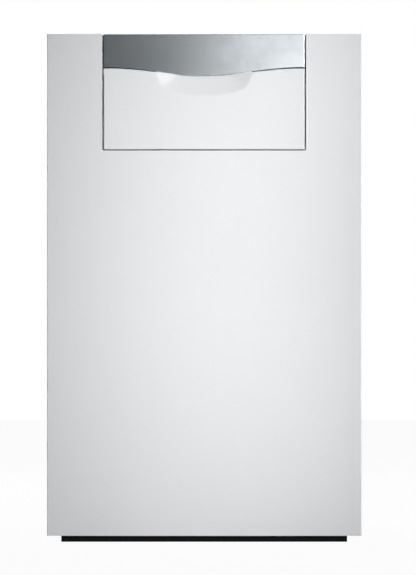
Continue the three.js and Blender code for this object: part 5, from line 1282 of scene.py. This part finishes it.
# capacitors (X, Y, radius, height), chips with their pins (X, Y, width, depth) and small parts
capacitors = [(48, 80, 6.2, 22), (62, 80, 5.0, 17), (-125, 96, 4.0, 12), (30, 168, 5.0, 15)]
capacitors += [(60, 164, 6.2, 20), (-30, 76, 3.2, 9), (-22, 76, 3.2, 9)]
for x, y, r, h in capacitors:
    can = [(0, 0), (r, 0), (r, 1.6), (r - 0.4, 2.2), (r, 2.8), (r, h), (0, h)]
    turn(built, "z", filleted([(u, board_top + z) for u, z in can], 0.5, 2), x, y, 28, finish=1)
chips = [(-80, 80, 20, 9), (-52, 84, 9, 9), (8, 82, 14, 14), (-100, 166, 8, 20), (-70, 168, 8, 20)]
chips += [(0, 120, 10, 26), (30, 120, 10, 26)]
for x, y, w, d in chips:
    box(built, about(x, w / 2), about(y, d / 2), on_board, 0.3, 0.5, "z", finish=1)
    for side in (-1, 1):
        for k in range(5):
            u = x - w / 2 + w * (k + 0.5) / 5
            block(built, about(u, 0.4), sorted((y + side * d / 2, y + side * (d / 2 + 1.6))), pins_high, 4)
for i in range(26):
    x, y = -118 + (i * 37) % 182, 66 + (i * 23) % 44
    block(built, about(x, 1.6), about(y, 0.8), (board_top, board_top + 0.7), (1, 3, 4)[i % 3])
piece("main_board", built, [board_green, black_plastic, relay_blue, terminal_grey, solder], "board_green")


# Fascia: a grey moulded tray with a spark-eroded grain, its cut-outs for the gauge, the switch, the display,
# the knobs, the keys and a plug-in controller. Two ears at its lower corners hold the flap's pins.
console_grey = skin(
    "console_grey", (0.36, 0.375, 0.39), (0.345, 0.36, 0.375), (0.45, 0.56), (0.35, 1.6, 0.35, 0.022),
    patch=60.0
)
ink_dark = skin("ink_dark", (0.03, 0.032, 0.036), (0.036, 0.038, 0.042), (0.5, 0.6), (0.3, 2.0, 0.3, 0.002))
fascia_half, fascia_low, fascia_front, fascia_plate, fascia_back, collar = 166.4, 651.8, 12.8, 38.0, 41.0, 2.2
gauge_x, gauge_z, gauge_radius = -112.0, 778.0, 25.0
switch_x, switch_z, switch_half_x, switch_half_z = -112.0, 702.0, 12.0, 17.0
knob_x, knob_z = (-52.0, 12.0), 700.0
display_x, display_z, display_half_x, display_half_z = -20.0, 788.0, 42.0, 20.0
key_x, key_z, key_half_x, key_half_z = (-53.0, -31.0, -9.0, 13.0), 748.0, 7.0, 4.5
blank_x, blank_z, blank_half_x, blank_half_z = 96.0, 748.0, 52.0, 46.0
built = bmesh.new()
box(built, (-fascia_half, fascia_half), (fascia_front, fascia_back), (fascia_low, 841.0), 0.5, 1.2, "y")
fascia = piece("control_fascia", built, [console_grey, ink_dark], "console_grey")
cutter = bmesh.new()
box(
    cutter, (-fascia_half + collar, fascia_half - collar), (0, fascia_plate),
    (fascia_low + collar, 841.0 - collar), 0.0, 2.0, "y"
)
carved(fascia, cutter)
cutter = bmesh.new()
box(cutter, (-170, 170), (10.0, 15.8), (640, 667.0), 0.0, 0.0, "y")
windows = [(display_x, display_z, display_half_x, display_half_z, 2.0)]
windows += [
    (switch_x, switch_z, switch_half_x, switch_half_z, 1.0),
    (blank_x, blank_z, blank_half_x, blank_half_z, 2.5)
]
windows += [(x, key_z, key_half_x + 0.3, key_half_z + 0.3, 1.6) for x in key_x]
through = (34, 45)
for x, z, half_x, half_z, corner in windows:
    box(cutter, about(x, half_x), through, about(z, half_z), 0.0, corner, "y")
disc(cutter, "y", gauge_radius, *through, gauge_x, gauge_z, sides=96)
for x in knob_x:
    disc(cutter, "y", 3.3, *through, x, knob_z, sides=24)
carved(fascia, cutter)


def lettering(built, text, size, x, z, face, thick=0.14, finish=0):
    """Adds printed characters, centred at a place on a surface that faces the front."""
    curve = bpy.data.curves.new("characters", "FONT")
    curve.body, curve.size, curve.align_x, curve.align_y = text, size, "CENTER", "CENTER"
    curve.extrude, curve.resolution_u = thick / 2, 4
    holder = bpy.data.objects.new("characters", curve)
    mesh = bpy.data.meshes.new_from_object(holder)
    bpy.data.objects.remove(holder)
    bpy.data.curves.remove(curve)
    characters = bmesh.new()
    characters.from_mesh(mesh)
    for vertex in characters.verts:
        u, v, w = vertex.co
        vertex.co = at(x + u, face - thick / 2 - w, z + v)
    bmesh.ops.remove_doubles(characters, verts=characters.verts, dist=1e-6)
    bmesh.ops.recalc_face_normals(characters, faces=characters.faces)
    for item in characters.faces:
        item.material_index = finish
    characters.to_mesh(mesh)
    characters.free()
    built.from_mesh(mesh)
    bpy.data.meshes.remove(mesh)


pin_y, pin_z, pin_inner, printed = 6.0, 657.8, 160.9, (fascia_plate - 0.14, fascia_plate + 0.2)
ear = filleted([(3.7, 655.5), (38.2, 655.5), (38.2, 660.1), (3.7, 660.1)], 2.2, 5, closed=True)
built = reopened(fascia)
for side in (-1, 1):
    low, high = sorted((side * pin_inner, side * (pin_inner + 3.0)))
    plate(built, "x", ear, low, high, 0.3, [circle(pin_y, pin_z, 1.35, 20)])
# printed scales round the knobs: ticks and numbers over three quarters of a turn
for x in knob_x:
    for k in range(11):
        t = math.radians(225 - 27 * k)
        u, v = math.cos(t), math.sin(t)
        centre, across = Vector((x + u * 21.6, knob_z + v * 21.6)), Vector((-v, u)) * 0.32
        out = Vector((u, v)) * (1.5 if k % 2 == 0 else 0.9)
        corners = [centre + out + across, centre - out + across, centre - out - across, centre + out - across]
        plate(built, "y", [tuple(c) for c in corners], *printed, finish=1)
        if k % 2 == 0:
            lettering(built, str(1 + k // 2), 4.2, x + u * 26.6, knob_z + v * 26.6, fascia_plate, finish=1)
for text, x in (("i", key_x[0]), ("-", key_x[1]), ("+", key_x[2])):
    lettering(built, text, 5.4, x, key_z - 9.6, fascia_plate, finish=1)
disc(built, "y", 2.3, *printed, key_x[3], key_z - 9.6, sides=28, bore=1.6, finish=1)
for text, up in (("0", -8.0), ("I", 8.0)):
    lettering(built, text, 4.6, switch_x - 19.0, switch_z + up, fascia_plate, finish=1)
lettering(built, "bar", 4.4, gauge_x, gauge_z - 31.4, fascia_plate, finish=1)
put_back(built, fascia)


# Display: a clear moulded window with a rounded rim, snapped into the fascia over a liquid crystal panel.
# The panel shows dark characters and bars on a pale green ground.
clear_cover = skin(
    "clear_cover", (0.93, 0.95, 0.95), (0.91, 0.93, 0.93), (0.03, 0.07), (4.0, 12.0, 0.3, 0.002),
    Transmission_Weight=0.96, IOR=1.49
)
display_glow = skin(
    "display_glow", (0.33, 0.40, 0.30), (0.31, 0.38, 0.285), (0.3, 0.4), (0.3, 2.0, 0.3, 0.002)
)
built = bmesh.new()
box(built, about(display_x, 41.6), (37.7, 40.9), about(display_z, 19.6), 0.5, 1.8, "y", steps=3)
piece("display_window", built, clear_cover, "clear_cover")
built = bmesh.new()
box(built, about(display_x, 44.2), (41.6, 47.3), about(display_z, 22.2), 0.4, 1.0, "y")
box(built, about(display_x, 36), (41.35, 42.0), about(display_z, 15), 0.1, 1.0, "y", finish=1)
lettering(built, "60", 15.0, display_x - 8, display_z + 1.0, 41.35, 0.1, finish=2)
lettering(built, "°C", 6.0, display_x + 12, display_z + 4.0, 41.35, 0.1, finish=2)
inked = (41.25, 41.45)
for k in range(8):
    left, base = display_x + 20 + 1.8 * k, display_z - 12
    box(built, (left, left + 1.2), inked, (base, base + 2.0 + 1.2 * k), 0.0, 0.0, "y", finish=2)
for k in range(3):
    base = display_z - 9 + 8 * k
    box(built, (display_x - 33, display_x - 27), inked, (base, base + 3.5), 0.0, 1.2, "y", finish=2)
piece("lcd_display", built, [black_plastic, display_glow, ink_dark], "display_dark")


# Pressure gauge: a black case with a bevelled rim, a white printed dial, a red pointer on its post and a
# flat glass held in the rim.
dial_white = skin(
    "dial_white", (0.86, 0.865, 0.86), (0.84, 0.845, 0.84), (0.45, 0.55), (0.3, 2.0, 0.3, 0.003)
)
dial_green = skin("dial_green", (0.02, 0.30, 0.07), (0.02, 0.27, 0.06), (0.45, 0.55), (0.3, 2.0, 0.3, 0.002))
needle_red = skin(
    "needle_red", (0.55, 0.02, 0.015), (0.48, 0.018, 0.014), (0.35, 0.45), (0.3, 2.0, 0.3, 0.003)
)
built = bmesh.new()
case = [(0, 42.6), (22.1, 42.6), (22.1, 36.4), (23.0, 35.5), (24.2, 35.5), (24.7, 36.2), (24.7, 41.4)]
case += [(28.6, 41.4), (28.6, 43.8), (24.7, 43.8), (24.7, 57.9), (0, 57.9)]
turn(built, "y", filleted(case, 0.3, 2), gauge_x, gauge_z, 96)
disc(built, "y", 21.9, 42.5, 42.75, gauge_x, gauge_z, sides=96, finish=1)


def dial_mark(built, first, last, low, high, face, finish, steps=1):
    """Adds a printed arc on the dial between two angles, clockwise from the top, and two radii."""
    outer = [math.radians(first + (last - first) * i / steps) for i in range(steps + 1)]
    loop = [(gauge_x + high * math.sin(t), gauge_z + high * math.cos(t)) for t in outer]
    loop += [(gauge_x + low * math.sin(t), gauge_z + low * math.cos(t)) for t in reversed(outer)]
    plate(built, "y", loop, face - 0.1, face, finish=finish)


dial_mark(built, -135, 135, 17.6, 17.9, 42.5, 2, 60)
dial_mark(built, -67.5, 0, 18.3, 20.0, 42.5, 3, 20)
dial_mark(built, 66.0, 69.0, 14.0, 20.4, 42.5, 4)
for k in range(21):
    t = -135 + 13.5 * k
    wide = 1.1 if k % 5 == 0 else 0.6
    dial_mark(built, t - wide, t + wide, 17.9, 20.6 if k % 5 == 0 else 19.2, 42.46, 2)
for k in range(5):
    t = math.radians(-135 + 67.5 * k)
    lettering(
        built, str(k), 4.6, gauge_x + 13.6 * math.sin(t), gauge_z + 13.6 * math.cos(t), 42.5, 0.1, finish=2
    )
piece("gauge_case", built, [black_plastic, dial_white, ink_dark, dial_green, needle_red], "dark_plastic")
built = bmesh.new()
disc(built, "y", 21.8, 35.8, 37.2, gauge_x, gauge_z, edge=0.3, sides=96)
piece("gauge_glass", built, clear_cover, "clear_cover")
built = bmesh.new()
rest, length = math.radians(-135), 17.1
ahead, beside = Vector((math.sin(rest), math.cos(rest))), Vector((math.cos(rest), -math.sin(rest)))
hub = Vector((gauge_x, gauge_z))
tail, tip = hub - ahead * 5.9, hub + ahead * length
blade = [tail - beside * 1.1, tail + beside * 1.1, tip + beside * 0.3, tip - beside * 0.3]
plate(built, "y", [tuple(p) for p in blade], 41.45, 42.15, 0.12)
disc(built, "y", 3.1, 40.45, 42.15, gauge_x, gauge_z, edge=0.4, steps=3, finish=1)
piece("gauge_needle", built, [needle_red, black_plastic], "needle_red", "gauge_needle")


# Mains switch: a black moulded frame that snaps into the fascia, with two tinned tabs behind it. Its red
# rocker is marked I and 0 and turns on a pin in the frame.
built = bmesh.new()
for x, z, corner, low, high, edge, hole_x, hole_z, hole_corner in [
    (15, 20, 2.0, 35.0, 37.7, 0.7, 9.3, 14.3, 0.8), (11.7, 16.7, 0.8, 37.0, 60.0, 0.5, 9.31, 14.31, 0.7),
]:
    outline = rectangle(*about(switch_x, x), *about(switch_z, z), corner)
    hole = rectangle(*about(switch_x, hole_x), *about(switch_z, hole_z), hole_corner)
    plate(built, "y", outline, low, high, edge, [hole])
box(built, about(switch_x, 10), (48.4, 59.8), about(switch_z, 15), 0.4, 0.6, "y")
for z in about(switch_z, 8):
    box(built, about(switch_x, 3.2), (59.0, 66.0), about(z, 0.4), 0.1, 0.2, "y", finish=1)
piece("switch_frame", built, [black_plastic, solder], "dark_plastic")
rocker_red = skin("rocker_red", (0.60, 0.035, 0.022), (0.55, 0.03, 0.02), (0.2, 0.3), (0.3, 1.6, 0.4, 0.008))
built = bmesh.new()
pivot_y, rise, half_z, tilt = 43.0, 5.5, 13.1, math.radians(7)


def rocked(y, z):
    """A point of the rocker's side, from its pivot, turned to the rocker's rest."""
    back = pivot_y + y * math.cos(tilt) - z * math.sin(tilt)
    return back, switch_z + y * math.sin(tilt) + z * math.cos(tilt)


def dished(z):
    """How far the rocker's face lies in front of its pivot, at a height."""
    return -rise + 1.2 * (1 - (z / half_z) ** 2)


side = [(-rise + 2.4, -half_z)] + [(dished(z), z) for z in [half_z * k / 8 for k in range(-8, 9)]]
side += [(-rise + 2.4, half_z)]
side += [(5.0 * math.sin(math.radians(t)), 5.0 * math.cos(math.radians(t))) for t in range(0, 181, 15)]
plate(built, "x", [rocked(y, z) for y, z in side], switch_x - 9.0, switch_x + 9.0, 0.5)
for text, z in (("I", 7.4), ("0", -7.4)):
    face, up = rocked(dished(z), z)
    lettering(built, text, 6.0, switch_x, up, face, 0.2, finish=1)
piece("mains_rocker", built, [rocker_red, dial_white], "rocker_red", "mains_rocker")


# Blank cover: a snap-in plate over the place for a plug-in controller, moulded in the fascia's plastic, with
# a finger notch in its lower edge and a groove near its rim.
built = bmesh.new()
box(built, about(blank_x, 54.2), (35.5, 37.7), about(blank_z, 48.2), 0.8, 3.0, "y", steps=3)
blank = piece("controller_blank", built, console_grey, "console_grey")
cutter = bmesh.new()
outline = rectangle(*about(blank_x, 48.6), *about(blank_z, 42.6), 2.6)
hole = rectangle(*about(blank_x, 47.6), *about(blank_z, 41.6), 2.0)
plate(cutter, "y", outline, 34.0, 36.2, 0.0, [hole])
disc(cutter, "x", 9.0, blank_x - 12, blank_x + 12, 29.6, blank_z - 48.2, edge=1.5, sides=48, steps=3)
carved(blank, cutter)
built = reopened(blank)
box(built, about(blank_x, 51.7), (37.4, 41.0), about(blank_z, 45.7), 0.4, 2.2, "y")
put_back(built, blank)


# Rotary knobs: a ribbed skirt and a raised grip bar with a white pointer line, on a shaft that a spring
# ring holds behind the fascia.
knob_dark = skin(
    "knob_dark", (0.028, 0.030, 0.034), (0.036, 0.038, 0.042), (0.34, 0.46), (0.3, 1.5, 0.35, 0.014),
    patch=14.0
)
for name, x in zip(("left_knob", "right_knob"), knob_x):
    built = bmesh.new()
    skirt = [(0, 31.6), (14.6, 31.6), (15.6, 32.7), (16.7, 37.7), (3.0, 37.7), (3.0, 41.3), (5.2, 41.3)]
    skirt += [(5.2, 42.8), (3.0, 42.8), (3.0, 54.0), (0, 54.0)]
    turn(built, "y", filleted(skirt, 0.5, 3), x, knob_z, 64)
    for u, v in circle(x, knob_z, 16.15, 30):
        disc(built, "y", 0.75, 33.4, 37.6, u, v, edge=0.3, sides=10)
    grip = [
        (x - 3.9, knob_z - 14.0), (x + 3.9, knob_z - 14.0), (x + 3.3, knob_z + 14.4),
        (x - 3.3, knob_z + 14.4)
    ]
    plate(built, "y", filleted(grip, 2.6, 4, closed=True), 23.8, 32.6, 1.3, steps=4)
    box(built, about(x, 0.6), (23.65, 24.2), (knob_z + 3.0, knob_z + 13.0), 0.15, 0.4, "y", finish=1)
    piece(name, built, [knob_dark, dial_white], "knob_dark", name)


# Keys: three pale moulded ones and a red one for the reset. Each slides through the fascia, is kept in by a
# lip behind it and is pushed back by the switch under it.
key_white = skin("key_white", (0.74, 0.75, 0.755), (0.71, 0.72, 0.725), (0.32, 0.42), (0.3, 1.6, 0.4, 0.01))
key_red = skin("key_red", (0.52, 0.03, 0.022), (0.46, 0.026, 0.02), (0.3, 0.4), (0.3, 1.6, 0.4, 0.01))
for name, x in zip(("info_button", "minus_button", "plus_button", "reset_button"), key_x):
    finish, slot = (key_red, "key_red") if name == "reset_button" else (key_white, "key_white")
    built = bmesh.new()
    box(built, about(x, key_half_x), (35.0, 41.6), about(key_z, key_half_z), 0.7, 1.8, "y", steps=3)
    box(built, about(x, 8.8), (41.3, 42.8), about(key_z, 6.3), 0.2, 1.0, "y")
    piece(name, built, finish, slot, name)


# Front panel: one 1.2 mm steel sheet, bowed by 3 mm across its width, folded over at both sides and folded
# back at the top, the bottom and round the opening for the flap, which stands 2 mm proud of it. Its gloss
# white powder coat has the slight orange peel of a sprayed finish.
casing_low, casing_top, bottom_back, top_back = 11.0, 841.0, 25.2, 41.0
notch_half, notch_low, notch_corner, flange_back, set_back = 168.4, 648.2, 3.0, 14.0, 2.0


def bow(x):
    """How far the front stands back from its foremost line, at X from the middle."""
    return 3.0 * (x / 260.0) ** 2


def face(x):
    """How far the panel's face stands behind the flap's foremost line."""
    return bow(x) + set_back


corner_radius, corner_start = 2.0, 258.0
corner_middle = face(corner_start) + corner_radius
tilts = [math.radians(90 * i / 8) for i in range(9)]
side_line = [(260.0, top_back), (260.0, bottom_back)]
side_line += [
    (corner_start + corner_radius * math.cos(t), corner_middle - corner_radius * math.sin(t)) for t in tilts
]
notch_flat = notch_half - notch_corner
face_x = sorted({-notch_half, notch_half, -notch_flat, notch_flat, *[12.3 * i for i in range(-19, 20)]})
plan = [(-x, y) for x, y in side_line] + [(x, face(x)) for x in face_x] + list(reversed(side_line))
levels = [
    casing_low, 150.0, 300.0, 450.0, 580.0, notch_low, notch_low + notch_corner, 720.0, 790.0, casing_top
]


def facet(built, points):
    """Adds one flat face between points in millimetres."""
    built.faces.new([built.verts.new(at(*point)) for point in points])


built = bmesh.new()
for (x0, y0), (x1, y1) in zip(plan, plan[1:]):
    for low, high in zip(levels, levels[1:]):
        if abs((x0 + x1) / 2) > notch_half or low < notch_low:
            facet(built, [(x0, y0, low), (x1, y1, low), (x1, y1, high), (x0, y0, high)])
# the opening's rounded lower corners, and the flange round it
quarter = [math.radians(90 * i / 5) for i in range(6)]
corner_z = notch_low + notch_corner
corner = [(notch_flat + notch_corner * math.sin(t), corner_z - notch_corner * math.cos(t)) for t in quarter]
for side in (-1, 1):
    facet(built, [(side * x, face(x), z) for x, z in [(notch_half, notch_low)] + corner[::-1]])
upright = [z for z in levels if z > corner_z]
rim = [(-notch_half, z) for z in reversed(upright)] + [(-x, z) for x, z in corner[::-1]]
rim += [(x, notch_low) for x in face_x if abs(x) < notch_flat - 0.1]
rim += corner + [(notch_half, z) for z in upright]
for (x0, z0), (x1, z1) in zip(rim, rim[1:]):
    facet(built, [(x0, face(x0), z0), (x1, face(x1), z1), (x1, flange_back, z1), (x0, flange_back, z0)])
# the returns along the bottom and the top
for (x0, y0), (x1, y1) in zip(plan, plan[1:]):
    middle = abs(x0 + x1) / 2
    if middle < corner_start:
        back = [(x1, bottom_back, casing_low), (x0, bottom_back, casing_low)]
        facet(built, [(x0, y0, casing_low), (x1, y1, casing_low)] + back)
    if notch_half < middle < corner_start:
        cap = [(x0, y0), (x1, y1), (x1, top_back), (x0, top_back)]
        if notch_half in (x1, -x1):
            cap.insert(2, (x1, flange_back))
        if notch_half in (x0, -x0):
            cap.append((x0, flange_back))
        facet(built, [(x, y, casing_top) for x, y in cap])
for side in (-1, 1):
    for z, back in ((casing_low, bottom_back), (casing_top, top_back)):
        line = [p for p in side_line if p[1] <= back] + [(corner_start, back)]
        facet(built, [(side * x, y, z) for x, y in line])
folded(built, at(0, 300, 300), 1.3)
walled(piece("front_panel", built, white_enamel, "white_enamel", "front_panel"), sheet_mm)


# Flap: a white moulded pan that closes the opening. A scooped grip under the band's lower edge leads the
# fingertips up behind the band. The skin in the gap below the band, beside the grip, is painted black as
# painted shade. The flap turns on two steel pins at its lower corners.
flap_half, band_half, flap_low, flap_top, band_top, flap_back = 166.4, 166.15, 650.0, 838.2, 841.0, 12.0
band_wall, band_step, flap_wall = 2.5, 2.8, 2.2
grip_bottom_half, grip_low, grip_top, floor_slope, side_slope = 64.0, 739.6, 789.0, 0.36, 0.31
groove, painted_shade_from = 8.5, 78


def band_edge(x):
    """Height of the band's lower edge, lowest in the middle and level at both sides."""
    return 786.2 - 13.2 * (1 + math.cos(math.pi * x / flap_half)) / 2


def band_gap(x):
    """Height of the gap under the band, widest at both sides."""
    return 0.5 + 1.9 * (x / flap_half) ** 2


def soft_min(a, b, reach):
    """The smaller of two values, rounded off where they are nearly equal."""
    near = max(reach - abs(a - b), 0.0) / reach
    return min(a, b) - near * near * reach / 4


def grip_depth(x, z):
    """How deep the scoop lies behind the front there: a floor that curves back between two flat sides."""
    rise = z - grip_low - 10.9 * (min(abs(x), 80.0) / 64) ** 2.8
    half = grip_bottom_half + (z - 740) * 15 / 33
    deep = soft_min(floor_slope * rise, (half - abs(x)) * side_slope, 1.2)
    return -soft_min(-deep, 0.0, 0.8)


def spaced(stops):
    """Values between stops of (value, pitch to the next)."""
    made = []
    for (start, pitch), (end, _) in zip(stops, stops[1:]):
        count = max(1, round((end - start) / pitch))
        made += [start + (end - start) * i / count for i in range(count)]
    return made + [stops[-1][0]]


flap_white = skin(
    "flap_white", (0.885, 0.893, 0.9), (0.872, 0.88, 0.888), (0.47, 0.55), (1.8, 8.0, 0.3, 0.007),
    patch=160.0, streak=14.0, streak_share=0.15
)
across = spaced([(-flap_half, 3.2), (-160, 8.5), (-92, 1.6), (92, 8.5), (160, 3.2), (flap_half, 1)])
inner = flap_half - band_step


def under_band(depth, height):
    """A row of the flap's skin behind the band, at a depth and a height for each X."""
    return [(max(-inner, min(inner, x)), bow(x) + depth(x, height(x)), height(x)) for x in across]


def groove_depth(x, z):
    """How deep the skin lies in the groove below the band, painted black as shade, which fades out beside the
    grip.
    """
    return max(grip_depth(x, z), groove * min(max((abs(x) - 77) / 6, 0.0), 1.0))


def step_depth(x, z):
    """How deep the skin lies behind the band, at least by the band's own wall."""
    return max(grip_depth(x, z), band_step)


rows = []
for share in spaced([(0.0, 0.16), (0.70, 0.011), (1.0, 1)]):
    heights = [flap_low + share * (band_edge(x) - band_gap(x) - flap_low) for x in across]
    rows.append([(x, bow(x) + grip_depth(x, z), z) for x, z in zip(across, heights)])
front_rows = len(rows)
rows.append(under_band(groove_depth, lambda x: band_edge(x) - band_gap(x)))
rows.append(under_band(groove_depth, lambda x: band_edge(x) + 0.4))
for share in spaced([(0.0, 0.1), (1.0, 1)]):
    rows.append(
        under_band(step_depth, lambda x: band_edge(x) + 0.6 + share * (grip_top - band_edge(x) - 0.6))
    )
for level in (grip_top + 1.5, 812.0, flap_top):
    rows.append(under_band(lambda x, z: band_step, lambda x: level))
built = bmesh.new()
sheet(built, rows)
built.faces.ensure_lookup_table()
columns = len(across) - 1
# the faces in the gap below the band, beside the grip, take the black plastic as painted shade
for index in (front_rows - 1, front_rows, front_rows + 1):
    for i in range(columns):
        if min(abs(across[i]), abs(across[i + 1])) > painted_shade_from:
            built.faces[index * columns + i].material_index = 1


def turned_back(built, edges, y):
    """Folds a flange back from edges of a sheet, to a distance behind the casing's front."""
    for edge in edges:
        first, second = edge.verts
        back = [built.verts.new((vertex.co.x, at(0, y, 0).y, vertex.co.z)) for vertex in (second, first)]
        built.faces.new([first, second, *back])


turned_back(built, [edge for edge in built.edges if edge.is_boundary], flap_back)
folded(
    built,
    at(0, 300, 700),
    1.7,
    sharp=60,
    # only the edges at both sides below the band and along the bottom are rolled
    where=lambda p: p.z < 0.7715 and (abs(p.x) > 0.16639 or p.z < 0.6501) and p.y < -0.37,
)
outside = len(built.faces)
flap_panel = walled(piece("flap_panel", built, [flap_white, black_plastic], "flap_white", "flap"), flap_wall)
for polygon in flap_panel.data.polygons[outside:]:
    polygon.material_index = 0
# notches in its lower corners for the fascia's ears, and the holes for the pins
cutter = bmesh.new()
for side in (-1, 1):
    block(cutter, sorted((side * 160.3, side * 164.05)), (3.4, 14), (flap_low - 2, pin_z), 0)
    disc(cutter, "x", 1.5, side * 163.5, side * 168.0, pin_y, pin_z, sides=24)
carved(flap_panel, cutter)


# Hinge pins: two short ground steel pins, pressed into the flap's lower corners. They turn in the ears of
# the fascia.
polished_steel = skin(
    "polished_steel", (0.62, 0.61, 0.59), (0.54, 0.53, 0.51), (0.2, 0.32), (0.3, 2.0, 0.3, 0.004),
    metallic=1.0, patch=10.0
)
for side, place in ((-1, "left"), (1, "right")):
    built = bmesh.new()
    disc(built, "x", 1.2, side * pin_inner, side * 166.1, pin_y, pin_z, edge=0.25, sides=24)
    piece("hinge_pin_" + place, built, polished_steel, "burner_steel", name="pin_" + place)


# Band: a 2.5 mm moulded cover in silver-grey metallic lacquer, clipped over the flap's upper part. Its
# lower edge swings down in the middle, over the grip, and its face is plain.
band_silver = skin(
    "band_silver", (0.555, 0.583, 0.6), (0.535, 0.563, 0.58), (0.23, 0.26), (0.22, 1.2, 0.35, 0.002),
    metallic=0.98, patch=60.0, streak=5.0, streak_share=0.1
)
across = spaced([(-band_half, 4.0), (band_half, 1)])
band_rise = (0.0, 0.1, 0.35, 0.7, 1.0)
rows = [
    [(x, bow(x), band_edge(x) + share * (band_top - 0.25 - band_edge(x))) for x in across]
    for share in band_rise
]
built = bmesh.new()
lowest = sheet(built, rows)[0]
edges = [
    edge for edge in built.edges if edge.is_boundary and not all(vertex in lowest for vertex in edge.verts)
]
turned_back(built, edges, flap_back)
folded(built, at(0, 300, 810), 1.1, sharp=60)
band = piece("flap_band", built, band_silver, "band_silver", "flap", name="band_shown")
walled(band, band_wall, 0.35)


# Finish: every flat is shaded evenly up to its rolled or cut edges. The size of the finished model is
# set beside that of the CAD model.
for made, smooth in shown:
    made.data.set_sharp_from_angle(angle=math.radians(smooth))
    evened(made)
low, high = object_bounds()
{"cad": [list(cad_low), list(cad_high)], "visual": [list(low), list(high)]}
